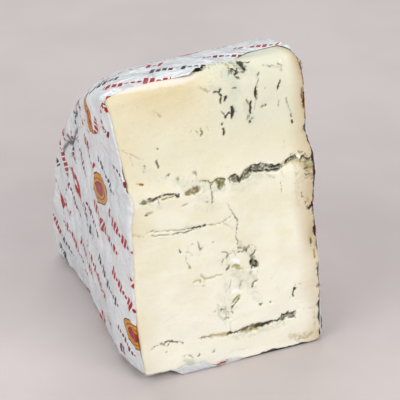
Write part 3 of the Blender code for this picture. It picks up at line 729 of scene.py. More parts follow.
    ("crumb_highlight", 0.7, -0.2, ((252.6, 270, 0.8), (255.6, 269.4, 0.6))),
    ("haze", 0.75, 0, ((250, 272, 1.6), (253, 276, 2.4), (256, 280, 2))),
    ("haze", 0.5, 0, ((236, 274, 3.4), (243, 279, 4), (240, 287, 4))),
    ("grey", 0.4, 0.2, ((250.4, 273, 0.8), (249.6, 275, 0.7))),
    ("grey", 0.35, 0.1, ((252.6, 271.6, 0.7),)),
    ("grey", 0.35, 0.2, ((257.6, 271, 0.6), (257.4, 274, 0.6))),
    ("grey", 0.35, 0.2, ((233, 273.6, 0.9),)),
    ("grey", 0.3, 0.2, ((233.6, 276.6, 0.9), (231.6, 281, 0.9), (231.2, 286, 0.8),
        (229.4, 289.6, 1))),
    ("grey", 0.35, 0.2, ((242.2, 281.6, 0.8), (241.4, 284.4, 1), (240.4, 287.2, 0.9))),
    ("crumb_highlight", 0.35, -0.1, ((233, 281, 0.7), (233, 288, 0.8))),
    ("crumb_highlight", 0.3, -0.1, ((244, 283, 0.6), (243.6, 288, 0.6))),
    ("grey", 0.65, 0.4, ((256.2, 281, 0.8), (253.8, 284, 1.1), (252.2, 287.4, 1.1))),
    ("haze", 0.5, 0, ((258.4, 279, 0.8), (256.8, 281, 1))),
    ("crumb_highlight", 0.5, -0.2, ((233, 292, 1.6), (238, 290.6, 1.8), (241, 292.4, 1.2))),
    ("haze", 0.4, 0, ((226, 286, 2.6), (229, 292, 3))),
    ("haze", 0.35, 0, ((223, 276, 1.8), (226, 281, 1.6))),
    # Brown branching line.
    ("tan", 0.65, 0.3, ((193.4, 283, 0.7), (196, 281.4, 0.9), (199.6, 280.8, 0.9),
        (201.2, 282.8, 0.6))),
    ("tan", 0.7, 0.3, ((201.4, 275.4, 0.7), (203.4, 278.4, 0.9), (205.4, 279.8, 0.9),
        (208, 278.8, 0.9), (212, 277.8, 0.8))),
    ("tan", 0.65, 0.3, ((212, 277.8, 0.7), (216, 276.6, 0.9), (217.6, 275.6, 0.8),
        (222, 275.6, 0.7))),
    ("tan", 0.45, 0.2, ((204.4, 281.6, 0.5), (204, 284, 0.5))),
    ("tan", 0.6, 0.2, ((204, 286.6, 1.1),)),
    # Green stroke and its cluster.
    ("moss", 0.85, 0.3, ((240, 296.2, 1.2), (237, 299, 1.4), (234.2, 301.6, 1.2))),
    ("olive", 0.45, 0.2, ((237.4, 296.8, 0.6), (234.6, 300, 0.6), (232.4, 302.4, 0.7))),
    ("olive", 0.85, 0.5, ((240.2, 298.6, 0.6), (238.2, 301.8, 0.7), (236, 303.6, 0.7),
        (234.2, 305.2, 0.8), (232.4, 307, 0.8))),
    ("grey", 0.6, 0.3, ((232.4, 308, 0.8), (232.2, 311, 0.8), (232.6, 313.6, 0.8))),
    ("haze", 0.6, 0, ((228.6, 300.4, 1), (232, 300, 0.9))),
    ("haze", 0.35, 0, ((227, 296, 1),)),
    ("haze", 0.9, 0, ((218.4, 305.4, 1), (218.4, 310, 1), (219.2, 314.6, 1), (222, 318.4, 1),
        (225, 320.6, 1))),
    ("grey", 0.35, 0.1, ((218.4, 305.2, 0.9),)),
    ("olive", 0.5, 0.3, ((222.4, 307.6, 1), (221.8, 310.4, 1.1))),
    ("grey", 0.4, 0.2, ((214.7, 311.4, 1),)),
    ("grey", 0.6, 0.3, ((225.6, 319.2, 0.9), (226.8, 317.8, 0.8), (229, 318.4, 0.7))),
    ("haze", 0.45, 0, ((224, 312, 2.4), (228, 315, 2.4))),
    ("tan", 0.35, 0.1, ((227.6, 311.4, 0.6), (228.4, 313.4, 0.6))),
    ("haze", 0.5, 0, ((225.4, 322, 0.6), (226, 329, 0.6))),
    ("haze", 0.6, 0, ((230.6, 322, 0.8), (230.4, 330, 0.8))),
    # Spots.
    ("grey", 0.7, 0.4, ((260.2, 304.2, 1.2), (261.8, 303, 0.8))),
    ("grey", 0.35, 0.2, ((262.4, 302, 0.5), (263.2, 300.4, 0.5))),
    ("olive", 0.65, 0.4, ((270, 302.2, 0.9),)),
    ("dark", 1, 1.2, ((294.7, 288.6, 1.2),)),
    ("dark", 0.85, 0.7, ((293.2, 291, 0.6), (293, 293.4, 0.8), (294, 295.8, 0.6))),
    ("grey", 0.3, 0.1, ((294.4, 281.6, 0.5), (295, 285, 0.5))),
    ("grey", 0.4, 0.2, ((298.4, 283.4, 0.6), (300, 283.8, 0.6))),
    ("grey", 0.25, 0.1, ((290.4, 295.6, 0.5), (291.2, 299, 0.6))),
    ("grey", 0.25, 0.1, ((272.3, 277.8, 0.8),)),
    ("grey", 0.3, 0.1, ((278, 287.6, 0.6), (278.2, 290, 0.6))),
    ("grey", 0.45, 0.2, ((213.8, 242, 0.9),)),
    # Lower vein.
    ("grey", 0.5, 0.3, ((200, 339, 0.6), (204, 338, 0.9), (208, 337, 0.8), (211.4, 336.8, 0.6))),
    ("tan", 0.75, 0.3, ((209, 337, 1), (215, 335.8, 1.5), (221, 335.2, 1.6), (227, 334.6, 1.4))),
    ("olive", 0.9, 0.7, ((227.6, 334.2, 0.8), (230.6, 332.8, 1.2), (232.2, 333, 0.8))),
    ("dark", 0.9, 0.9, ((231.6, 332.8, 0.7), (234.4, 333.2, 0.6), (237.2, 332, 0.7),
        (239.8, 331.2, 0.8))),
    ("tan", 0.8, 0.6, ((241, 332, 1), (246, 331, 1.6), (252, 330, 1.8), (257.4, 329.2, 1.4))),
    ("olive", 0.85, 0.8, ((243.2, 330.6, 0.8), (245.6, 328.8, 0.9), (248.4, 327.6, 0.9))),
    ("olive", 0.75, 0.8, ((248.4, 327, 1.2), (252, 325.8, 1.5), (257, 325.4, 1.8),
        (262, 324.8, 1.8))),
    ("dark", 0.5, 0.8, ((256, 326.4, 0.8), (261, 325.8, 1), (264, 324.6, 1))),
    ("dark", 0.85, 1, ((263.4, 324.2, 1.2), (267, 323, 1.3), (270.4, 321.6, 1))),
    ("dark", 0.8, 0.8, ((270.4, 321.4, 0.7), (274, 321, 0.8), (278, 320.6, 0.7))),
    ("grey", 0.55, 0.8, ((280.4, 319.6, 1.6), (283, 318, 2.2), (287, 315, 1.8), (292, 315, 1.6),
        (294.6, 314.6, 1.2))),
    ("dark", 0.8, 0.8, ((278, 320.4, 0.8), (279.6, 317.8, 0.8), (281.8, 315.4, 0.8),
        (284.4, 314.8, 0.7))),
    ("dark", 0.6, 0.6, ((281, 319.6, 0.5), (283.6, 320.2, 0.6), (285.4, 317.6, 0.6),
        (284.6, 315.8, 0.5))),
    ("grey", 0.5, 0.4, ((280.4, 322.2, 0.7), (283, 321, 0.7))),
    ("dark", 0.75, 0.8, ((284.6, 316, 0.7), (286.4, 313, 0.8), (288.6, 311.2, 0.8))),
    ("dark", 0.55, 0.6, ((286.4, 317, 0.5), (288.4, 314, 0.5), (290.6, 313.2, 0.5))),
    ("dark", 0.6, 0.6, ((288.6, 317.6, 0.6), (291.6, 316.8, 0.6), (294.6, 317.2, 0.7))),
    ("dark", 0.75, 0.7, ((292.8, 312.6, 0.6), (295, 311.4, 0.8))),
    ("dark", 0.6, 0.6, ((292.4, 313, 0.6), (293, 315.4, 0.6), (295.2, 317.6, 0.7))),
    ("pale", 0.6, 0.3, ((290.8, 314.8, 0.8),)),
    ("grey", 0.35, 0.2, ((295, 309.6, 0.6), (298.6, 307.8, 0.5))),
    ("tan", 0.4, 0.1, ((304, 309, 1.1),)),
    ("tan", 0.3, 0.1, ((300, 303, 0.6), (310, 301.4, 0.6), (317, 301, 0.6))),
    ("tan", 0.35, 0.1, ((308, 308.6, 0.8), (316, 307.4, 1))),
    # Small vein at the lower left.
    ("grey", 0.55, 0.3, ((151.4, 349.6, 0.6), (154.4, 347.4, 0.7), (158, 345.6, 0.5))),
    ("dark", 0.6, 0.4, ((160.4, 344, 0.6), (163.4, 344.6, 0.8), (165.6, 343.6, 0.6))),
    ("olive", 0.8, 0.4, ((165, 342.8, 0.6), (168, 342, 0.7), (171.6, 341.6, 0.8),
        (175, 342.8, 0.7), (179, 343, 0.7))),
    ("olive", 0.7, 0.4, ((168.6, 344.6, 0.7), (170.6, 343.4, 0.6))),
    ("dark", 0.5, 0.4, ((179, 343, 0.6), (183.6, 343.8, 0.7))),
    ("tan", 0.5, 0.1, ((162, 346, 0.8), (168, 345.8, 0.8))),
    ("grey", 0.6, 0.3, ((167, 352.2, 0.8),)),
    ("grey", 0.5, 0.3, ((214.8, 349, 0.6), (214.2, 351.4, 0.9), (213, 352.4, 0.6))),
    ("olive", 0.5, 0.3, ((188.6, 355, 0.6), (191, 356.4, 0.8), (193.4, 357.6, 0.7),
        (193.8, 359, 0.6))),
    ("grey", 0.5, 0.2, ((184, 357, 0.7), (185.4, 355.6, 0.6), (187.4, 354.8, 0.5))),
    ("olive", 0.6, 0.3, ((199.8, 354, 0.6), (200, 355.8, 0.8), (198.4, 357.4, 0.6))),
    ("haze", 0.8, 0, ((184, 360, 1.6), (188, 362, 2.2), (193, 362, 2))),
    ("grey", 0.35, 0.1, ((184.6, 359, 0.5), (184.4, 362, 0.5))),
    ("tan", 0.3, 0.1, ((239, 350, 0.6), (249, 349.4, 0.7))),
    ("grey", 0.3, 0.1, ((215, 364, 0.7), (217, 362.4, 0.6))),
    # Upper right part: clumps and upright cracks.
    ("dark", 0.95, 1, ((242.4, 61.4, 1.1), (246.2, 61.4, 1.1))),
    ("dark", 0.95, 1.2, ((245.4, 62.6, 1.4), (245.4, 66, 1.1), (245.1, 69.4, 0.8))),
    ("grey", 0.7, 0.4, ((247.2, 61.4, 0.5), (250.6, 61.2, 0.7), (253.8, 60.8, 0.6))),
    ("dark", 0.4, 0.2, ((251.6, 61.1, 0.8),)),
    # Painted shadow beside the dark clump.
    ("haze", 1, 0, ((248.4, 64, 1.4), (247.4, 70, 1.8), (245.4, 74.6, 1.4))),
    ("grey", 0.4, 0.2, ((247.4, 64, 0.7), (247, 70, 0.8))),
    ("grey", 0.6, 0.3, ((239.4, 69.4, 1.1),)),
    ("grey", 0.4, 0.2, ((241.4, 64.6, 0.9), (241, 66.6, 0.7))),
    ("dark", 0.85, 0.6, ((237.2, 71.6, 0.5), (239.8, 74, 0.7))),
    ("olive", 0.85, 0.6, ((231.6, 70, 0.6), (233.6, 71.2, 0.9), (235.6, 71.2, 0.6))),
    ("grey", 0.8, 0.4, ((233.4, 72, 0.9), (232.8, 74.6, 1))),
    ("grey", 0.5, 0.3, ((229.6, 72, 0.9), (229.8, 75.6, 1), (232.4, 76.4, 0.9))),
    ("grey", 0.65, 0.3, ((237.4, 77.4, 1), (239.6, 77.8, 0.9))),
    ("grey", 0.4, 0.3, ((241.6, 72.6, 0.8), (243.6, 73.2, 0.7))),
    ("haze", 1, 0, ((230, 74, 3), (237, 76, 3), (243, 73, 3))),
    ("haze", 0.8, 0, ((234, 82, 3.4), (236, 89, 4.4), (233, 97, 4))),
    ("moss", 0.45, 0.1, ((225.4, 64.4, 1), (228.6, 67, 1.3))),
    ("tan", 0.4, 0.1, ((208.4, 83.4, 0.6), (211, 81.6, 0.9), (212.4, 83.2, 0.6))),
    ("moss", 0.55, 0.2, ((200.4, 88, 1), (204, 89.6, 1.5), (207.4, 91.4, 1.2))),
    ("brown", 0.5, 0.2, ((209.6, 90.4, 0.9),)),
    ("haze", 0.8, 0, ((210, 86, 1.4), (214, 89, 2.2), (219, 88, 1.8))),
    ("dark", 0.8, 0.6, ((213.6, 92.6, 0.6), (216.6, 91.6, 0.9), (218.8, 92, 0.8))),
    ("dark", 0.85, 0.6, ((220.5, 89.4, 0.7), (220.2, 91.6, 0.6), (219.2, 92.8, 0.7),
        (221.2, 94.8, 1))),
    ("grey", 0.5, 0.3, ((222, 95.6, 0.5), (224.4, 97.2, 0.5))),
    ("dark", 0.85, 0.8, ((226.2, 97, 1.1), (225.4, 99.4, 1.2), (224.6, 101.2, 0.8))),
    ("dark", 0.8, 0.7, ((220.8, 97.4, 0.7), (220.2, 100, 1), (220.4, 102.6, 0.8))),
    ("grey", 0.75, 0.4, ((233.4, 88.2, 0.7), (236, 88.1, 0.8))),
    ("dark", 1, 1.3, ((231.8, 107.2, 1.1), (233, 109.4, 1.5), (232.8, 112.6, 1.6),
        (232.2, 115.6, 1.2), (231.6, 118.4, 0.7))),
    ("haze", 0.7, 0, ((233.6, 107, 2.2), (234.2, 113, 2.6), (233, 119, 1.6))),
    ("grey", 0.65, 0.3, ((221.6, 110.6, 0.6), (223.6, 114.4, 0.6), (225.2, 117, 0.7))),
    ("dark", 0.8, 0.5, ((225.4, 117.4, 1), (227.2, 115.2, 0.7), (228.8, 113, 1))),
    ("dark", 0.7, 0.4, ((221.9, 123.6, 0.8), (222, 125.2, 0.7))),
    ("dark", 0.8, 0.6, ((223.6, 129, 0.8), (223.8, 132, 0.9), (223.4, 134.6, 0.7))),
    ("grey", 0.75, 0.4, ((246.2, 99.8, 0.7), (247.6, 102.8, 0.7), (249.2, 104.6, 0.6))),
    ("dark", 0.9, 0.8, ((251.2, 101.6, 0.7), (250.4, 104.6, 0.8), (250.8, 108, 0.8),
        (249.8, 111, 0.8), (250.4, 113.4, 0.6))),
    ("grey", 0.55, 0.3, ((249.4, 115.4, 0.6), (249.6, 118.4, 0.7))),
    ("grey", 0.45, 0.2, ((248, 115.6, 0.6), (247.6, 119, 0.7))),
    ("dark", 0.8, 0.5, ((249.7, 121.4, 1.2),)),
    ("grey", 0.45, 0.2, ((251.4, 119.4, 0.9), (254.2, 118, 0.7))),
    ("haze", 0.9, 0, ((246, 104, 2.6), (249, 112, 3.4), (251, 119, 3.6))),
    ("dark", 0.75, 0.6, ((260.2, 72.6, 0.7), (259.4, 75.2, 0.9))),
    ("grey", 0.65, 0.4, ((259.2, 76.6, 0.5), (258.8, 80, 0.6), (257.6, 84, 0.5))),
    ("dark", 1, 1.4, ((256.8, 86.6, 0.7), (255.9, 89.4, 1.1), (255.6, 93, 1.1), (256, 96, 0.9),
        (256.5, 98.6, 0.4))),
    ("grey", 0.45, 0.3, ((256.4, 99.6, 0.5), (255.8, 105, 0.5), (254.4, 109.4, 0.4))),
    ("grey", 0.45, 0.1, ((265.6, 63.9, 0.8),)),
    ("grey", 0.6, 0.2, ((270.8, 65.6, 0.8), (272.6, 66.4, 0.8))),
    ("grey", 0.45, 0.2, ((273.4, 64.6, 0.6), (276.4, 65, 0.7), (279.4, 66.4, 0.7))),
    ("dark", 0.65, 0.3, ((280.8, 62.4, 0.8), (282, 63.6, 0.8), (283.8, 64.4, 0.8))),
    ("grey", 0.5, 0.2, ((285.8, 58.4, 0.7),)),
    ("crumb_highlight", 0.6, -0.2, ((284.2, 59.6, 0.8),)),
    ("tan", 0.5, 0.1, ((282.6, 66, 0.9), (282.8, 70, 1.3))),
    ("haze", 0.6, 0, ((266, 64.4, 1.4), (275, 66, 1.6), (284, 65, 1.6))),
    ("dark", 0.75, 0.5, ((280.7, 80.2, 0.6), (280.4, 82.2, 0.9))),
    ("dark", 0.85, 0.7, ((279.8, 83.4, 0.6), (278.4, 86.4, 0.7), (277.7, 90, 0.6))),
    ("haze", 0.5, 0, ((281.4, 85, 1),)),
    ("grey", 0.55, 0.3, ((279.2, 99.8, 0.7), (278.4, 105.6, 0.6))),
    ("grey", 0.3, 0.1, ((265, 88.2, 0.9),)),
    ("olive", 0.65, 0.3, ((265.8, 105, 1.1),)),
    ("olive", 0.6, 0.3, ((262.2, 107, 1), (264, 106, 0.6))),
    ("grey", 0.5, 0.3, ((286.2, 98, 0.5), (287, 102, 0.6), (288.6, 107, 0.5), (290, 111, 0.5))),
    ("dark", 0.65, 0.4, ((291, 112.6, 0.5), (291.3, 116.6, 0.7))),
    ("dark", 0.95, 0.6, ((292.3, 120.4, 0.8), (292.5, 121.8, 0.9))),
    ("haze", 0.5, 0, ((286, 102, 1.2), (290, 112, 1.6))),
    ("grey", 0.5, 0.1, ((284.4, 141.6, 0.8),)),
    ("haze", 0.35, 0, ((284.6, 142, 1.2), (284, 148, 1.4))),
    # Upper left part: a few faint marks.
    ("tan", 0.65, 0.2, ((154.4, 111.8, 0.6), (158, 114.2, 0.8), (160.6, 117.6, 0.7))),
    ("tan", 0.45, 0.1, ((153.4, 114.6, 0.5), (157, 117, 0.5))),
    ("grey", 0.45, 0.1, ((185.2, 129, 0.7),)),
    ("tan", 0.6, 0.2, ((190.4, 131.6, 0.6), (192.4, 130.4, 0.6))),
    ("olive", 0.5, 0.2, ((196.4, 131, 0.8), (198.6, 133.4, 0.8))),
    ("olive", 0.55, 0.3, ((201.2, 129, 1), (202, 132.6, 1), (201.4, 136, 0.8))),
    ("tan", 0.45, 0.2, ((207.6, 127.4, 1), (208.4, 130, 0.7))),
    ("dark", 0.65, 0.4, ((156.8, 148.8, 0.8), (158.2, 149.2, 0.7))),
    ("grey", 0.8, 0.4, ((156.2, 161, 0.5), (157.2, 164, 0.7), (158.8, 167.8, 0.6))),
    ("haze", 0.9, 0, ((145.5, 166.8, 1), (144, 171.8, 1.2))),
    ("grey", 0.3, 0.1, ((144, 171.7, 0.9),)),
    ("grey", 0.65, 0.3, ((168.4, 175, 1),)),
    ("haze", 0.6, 0, ((162, 178, 0.8), (168, 178.6, 0.7))),
    ("grey", 0.45, 0.2, ((177.8, 178.8, 0.9), (178.4, 181.4, 1))),
    ("grey", 0.4, 0.2, ((184.7, 186, 0.6),)),
    ("ochre", 0.95, 0.4, ((140.4, 184.9, 0.8), (142.8, 185.4, 1.1))),
    ("ochre", 0.5, 0.3, ((136, 184.4, 0.5), (140, 184.8, 0.8))),
    ("olive", 0.75, 0.4, ((145.4, 215.9, 0.8), (147.4, 215.6, 1))),
    ("tan", 0.6, 0.2, ((147.6, 215.4, 0.8), (150, 213.8, 0.8), (152.4, 212.4, 0.8))),
    ("grey", 0.4, 0.2, ((118.6, 150, 0.5), (128, 153.4, 0.4), (138, 158.6, 0.6), (145, 160, 0.4))),
    ("grey", 0.3, 0.1, ((127, 153, 0.4), (131, 160, 0.4), (133, 166, 0.4))),
    # The lower middle: faint streaks.
    ("dark", 0.75, 0.4, ((179.2, 250.4, 0.7), (180.4, 252.8, 0.7))),
    ("grey", 0.3, 0.1, ((179, 246.6, 0.5), (179.2, 249, 0.5))),
    ("tan", 0.45, 0.1, ((186.6, 252, 1), (190, 253.4, 1), (192.2, 255.6, 0.8))),
    ("grey", 0.4, 0.2, ((186.2, 257, 0.7), (186.4, 261, 0.8), (188, 264, 0.9))),
    ("grey", 0.5, 0.2, ((189.4, 266, 1), (190.4, 268.4, 1.1))),
    ("grey", 0.45, 0.1, ((192.3, 244.6, 0.6),)),
    ("haze", 0.4, 0, ((188, 246, 1), (188.2, 251, 1))),
    ("grey", 0.6, 0.3, ((198.2, 242, 0.5), (199.4, 246, 0.8), (201.4, 249.6, 1.4))),
    ("grey", 0.45, 0.2, ((199.3, 256.6, 0.8),)),
    ("grey", 0.25, 0.1, ((184.5, 267.4, 0.7),)),
    # The right edge.
    ("olive", 0.65, 0.3, ((301.2, 192, 0.5), (302.8, 196.8, 0.7))),
    ("brown", 0.7, 0.3, ((305.2, 201, 0.5), (306.4, 204, 0.6), (307.6, 207.4, 0.5))),
    ("dark", 1, 1.2, ((308.4, 209, 1), (310, 208, 1.1), (312.8, 205.6, 0.8))),
    ("ochre", 0.35, 0.1, ((306, 197, 1.6), (308, 201, 1.8))),
    ("olive", 0.75, 0.5, ((309.8, 237, 0.8), (310.8, 241, 0.9), (311.2, 245.6, 0.8))),
    ("ochre", 0.7, 0.3, ((313.4, 250, 0.8), (314.2, 254, 1), (314.6, 258, 0.7))),
    ("brown", 0.6, 0.3, ((316.8, 262, 0.7), (317.4, 267, 0.8))),
    ("grey", 0.6, 0.3, ((318.4, 275, 0.7),)),
    ("brown", 0.6, 0.4, ((318, 283, 0.7), (318.4, 287, 0.8))),
    ("grey", 0.5, 0.3, ((319.4, 324, 0.8),)),
    ("tan", 0.6, 0.1, ((300, 339, 1.6), (307, 337, 2), (312, 333, 1.6))),
    ("tan", 0.4, 0.1, ((314, 312, 1.2), (315.4, 322, 1.4), (314.6, 330, 1.4))),
    ("tan", 0.3, 0.1, ((296, 163, 1.6), (296.6, 180, 2.2), (298, 205, 2))),
)
KINDS = ("dark", "grey", "olive", "moss", "tan", "brown", "ochre", "haze", "crumb_highlight", "pale")
SOFT_KINDS = ("haze", "crumb_highlight", "tan", "moss")
SPREAD = 1.12            # strokes are drawn this much wider than listed
LEAST_HALF = 0.22        # and at least this wide, to show on the mesh
STRAY = 0.34             # their outlines stray by this much, in waves of this size
STRAY_SCALE = 1.5
SOFT_EDGE = 0.22         # width of a stroke's soft edge, and its share of the half width on top
SOFT_SHARE = 0.3
SOFTER_SHARE = 0.7
WIDE_FROM = 0.6          # strokes with a half width between these turn mottled and pitted
WIDE_TO = 1.3
MOTTLING = 0.55
MOTTLING_SCALE = 0.95
PATCH_SCALE = 1.3        # marks are stronger in patches of this size
PIT_SPACING = 1.0        # pits in wide marks, and where their edge starts and ends
PIT_EDGE = (0.12, 0.42)
SPECK_SPACING = 1.4      # the same for specks around a mark
SPECK_EDGE = (0.10, 0.36)
HALO = 1.9               # mould tints the paste this far around it
HALO_TINT = 0.4
HALO_DOTS = 0.75
PIT_SHARE = 0.9


def line_distance(spots, points):
    """Distance from flat spots to the outline of a line of (across, up, half width) points."""
    nearest = np.full(len(spots), 1e9)
    points = np.array(points, float)
    for start, end in zip(points[:-1], points[1:]) if len(points) > 1 else [(points[0],) * 2]:
        run = end[:2] - start[:2]
        share = np.clip(((spots - start[:2]) @ run) / max(run @ run, 1e-9), 0.0, 1.0)
        reach = np.linalg.norm(spots - start[:2] - share[:, None] * run, axis=1)
        half = np.maximum(mix(start[2], end[2], share) * SPREAD, LEAST_HALF)
        nearest = np.minimum(nearest, reach - half)
    return nearest


def stroke_masks(points, spots):
    """Share of each kind of mark at the points of the cut face, and the depth of the marks."""
    stray = np.stack([rough(points, STRAY_SCALE, 11), rough(points, STRAY_SCALE, 15)], -1)
    strayed = spots + STRAY * stray
    patchy = 0.5 + 0.5 * rough(points, PATCH_SCALE, 41, 2)
    mottle = noise(points, MOTTLING_SCALE, 47)
    pits = 1.0 - smooth(cells(points, PIT_SPACING, 33)[0], *PIT_EDGE)
    specks = 1.0 - smooth(cells(points, SPECK_SPACING, 31)[0], *SPECK_EDGE)
    masks = {kind: np.zeros(len(points)) for kind in KINDS}
    depth = np.zeros(len(points))
    for kind, strength, deep, pixels in STROKES:
        line = on_cut_face(pixels)
        widest = line[:, 2].max()
        margin = widest + HALO + 1.0
        low = line[:, :2].min(axis=0) - margin
        high = line[:, :2].max(axis=0) + margin
        here = np.flatnonzero(np.all((spots > low) & (spots < high), axis=1))
        reach = line_distance(strayed[here], line)
        soft = SOFT_EDGE + (SOFTER_SHARE if kind in SOFT_KINDS else SOFT_SHARE) * widest
        shape = 1.0 - smooth(reach, -soft, soft)
        wide = smooth(widest, WIDE_FROM, WIDE_TO)
        amount = strength * shape * np.clip(0.95 + 0.5 * patchy[here], 0.0, 1.4)
        add_mark(masks[kind], here, amount * (1.0 + MOTTLING * wide * mottle[here]))
        if kind in ("dark", "grey"):
            halo = 1.0 - smooth(reach, 0.0, HALO)
            add_mark(masks["haze"], here, HALO_TINT * strength * halo * patchy[here])
            add_mark(masks["grey"], here, HALO_DOTS * strength * halo ** 2 * specks[here])
            add_mark(masks["dark"], here, PIT_SHARE * strength * wide * shape * pits[here])
        if deep < 0:
            depth[here] += deep * shape
        else:
            add_mark(depth, here, deep * np.minimum(shape * 1.2, 1.0))
    return masks, depth


def add_mark(values, here, amount):
    """Raise the values at some numbers to an amount where they are lower."""
    values[here] = np.maximum(values[here], amount)


FACE_STEP = 0.41         # spacing of the mesh on the cut face
LEFT_EDGE_STEPS = 4
RIGHT_EDGE_STEPS = 6
OVER_TOP = 0.46          # heights on the cut face go on over the rolled edge at this rate
FINE_DEPTH = 16.0        # the top is fine to this depth, and coarser where the foil covers it
FINE_RANKS = 17
COARSE_RANKS = 7
BACK_COLUMNS = 15        # the back is coarse
BACK_LEVELS = 21


def fine_columns():
    """Columns across the cut face, a step apart, with turned columns round both edges."""
    count = round((BASE_WIDTH - LEFT_EDGE - RIGHT_EDGE) / FACE_STEP)
    return Columns(np.linspace(0.0, 90.0, LEFT_EDGE_STEPS + 1), np.arange(1, count) / count,
                   np.linspace(90.0, 0.0, RIGHT_EDGE_STEPS + 1))


def face_height(points, place):
    """Height on the cut face, going on over its rolled top edge."""
    behind = points[:, 1] - face_lean(place, points[:, 2])
    return points[:, 2] + OVER_TOP * np.maximum(behind, 0.0)


def make_cheese(material):
    """The paste with its rind: a fine cut face and top edge on a closed body."""
    columns = fine_columns()
    levels = np.linspace(0.0, HEIGHT, round(HEIGHT / FACE_STEP) + 1)
    fine = np.linspace(0.0, FINE_DEPTH / RADIUS, FINE_RANKS)
    ranks = np.concatenate([fine, np.linspace(fine[-1], 1.0, COARSE_RANKS)[1:]])
    nx, nz, ny = len(columns.across), len(levels), len(ranks)
    ring = np.array([(i, 0) for i in range(nx)] + [(nx - 1, k) for k in range(1, nz)]
                    + [(i, nz - 1) for i in range(nx - 2, -1, -1)]
                    + [(0, k) for k in range(nz - 2, 0, -1)])

    i_front, k_front = np.meshgrid(np.arange(nx), np.arange(nz))
    front = skin(columns.take(i_front), np.zeros(i_front.shape), levels[k_front], 0.0)
    number = np.arange(nx * nz).reshape(nz, nx)
    points = [front.reshape(-1, 3)]
    faces = [grid_faces(number)]
    before = number[ring[:, 1], ring[:, 0]]
    total = nx * nz
    for rank in ranks[1:]:
        hoop = skin(columns.take(ring[:, 0]), np.full(len(ring), rank), levels[ring[:, 1]], 0.0)
        here = total + np.arange(len(ring))
        faces.append(np.stack([np.roll(before, -1), before, here, np.roll(here, -1)], -1))
        points.append(hoop)
        before = here
        total += len(ring)
    points = np.concatenate(points)
    back_faces, back_points = coarse_back(columns, levels, ring, before, total)
    points = np.concatenate([points, back_points])
    place = np.concatenate([columns.place[i_front].ravel(),
                            np.tile(columns.place[ring[:, 0]], ny - 1),
                            np.full(len(back_points), BASE_WIDTH / 2)])
    all_faces = np.concatenate(faces).tolist() + back_faces
    values = dress_cheese(points, place, nx * nz, len(ring) * len(fine))
    return build_mesh("cheese_paste", points, all_faces, values, material)


def coarse_back(columns, levels, ring, hoop, total):
    """Wide faces that close the back, joined to the last ring of points."""
    xs = np.unique(np.round(np.linspace(0, len(columns.across) - 1, BACK_COLUMNS)).astype(int))
    zs = np.unique(np.round(np.linspace(0, len(levels) - 1, BACK_LEVELS)).astype(int))
    number = {tuple(place): point for place, point in zip(ring.tolist(), hoop.tolist())}
    made = []
    for k in zs[1:-1]:
        for i in xs[1:-1]:
            number[(int(i), int(k))] = total + len(made)
            made.append((int(i), int(k)))
    made = np.array(made)
    points = skin(columns.take(made[:, 0]), np.ones(len(made)), levels[made[:, 1]], 0.0)
    faces = []
    for k0, k1 in zip(zs[:-1].tolist(), zs[1:].tolist()):
        for i0, i1 in zip(xs[:-1].tolist(), xs[1:].tolist()):
            loop = ([(i0, k) for k in (range(k0, k1) if i0 == 0 else (k0,))]
                    + [(i, k1) for i in (range(i0, i1) if k1 == zs[-1] else (i0,))]
                    + [(i1, k) for k in (range(k1, k0, -1) if i1 == xs[-1] else (k1,))]
                    + [(i, k0) for i in (range(i1, i0, -1) if k0 == 0 else (i1,))])
            faces.append([number[place] for place in loop])
    return faces, points


def dress_cheese(points, place, front_count, near_count):
    """Move the visible points for relief, and return the colour masks of all the points."""
    seen = np.arange(min(front_count + near_count, len(points)))
    at, across = points[seen], place[seen]
    spots = np.stack([at[:, 0], face_height(at, across)], -1)
    masks, depth = stroke_masks(at, spots)
    behind = at[:, 1] - face_lean(across, at[:, 2])
    fade = 1.0 - smooth(behind, FADE_FROM, FADE_TO)
    points[seen] += relief(at, across, behind, depth, fade, seen < front_count)
    values = shades(points, place)
    for kind, mask in masks.items():
        values[kind] = np.zeros(len(points))
        values[kind][seen] = mask * fade
    return values


FADE_FROM = 14.0         # relief and marks fade out this far behind the cut face
FADE_TO = 22.0
SWELL = 0.45             # slow swells of the cut face
SWELL_SCALE = 17.0
SMEAR = 0.06             # streaks that the knife left, and the same on top
SMEAR_SCALE = 4.0
SMEAR_STRETCH = (0.35, 1.0, 1.3)
TOP_SMEAR = 0.2
GRIT = 0.05
GRIT_SCALE = 1.1
TOP_DIP_SHARE = 0.6      # marks sink less into the top than into the cut face
TOP_DIP_HEIGHTS = (90.0, 100.0)
CALM_EDGE = 2.0          # the relief calms down this near the left edge, to a least share
CALM_SHARE = 0.2
TORN_BASE_RISE = 1.1     # the torn lower edge stands off
TORN_SCALE = 6.0
TORN_HEIGHT = 4.0
TORN_DEPTH = 9.0
BASE_KEPT = 0.8          # points lower than this keep their place
BASE_FREE = 5.0          # and those above this have the full relief
EDGE_CHIPS = 1.1         # depth of the chips along the right edge
CHIP_SCALE = 3.6
CHIPS_FROM = 3.0         # they begin and are full at these distances from the edge
CHIPS_FULL = 0.8
CHIPS_FADE = (0.5, 3.0)  # and fade out between these behind the cut face
LEAST_CHIP = -1.0
MOST_CHIP = 0.35
LUMP_X = 50.0            # crumbly lump on the top edge
LUMP_REACH_X = 8.0
LUMP_REACH_Y = 9.0
LUMP_RISE = 3.0
LUMP_FROM = 8.0          # it begins and is full at these distances below the top edge
LUMP_FULL = 1.0
CRUMB_SCALE = 3.0
SMALL_CRUMB_SCALE = 1.5


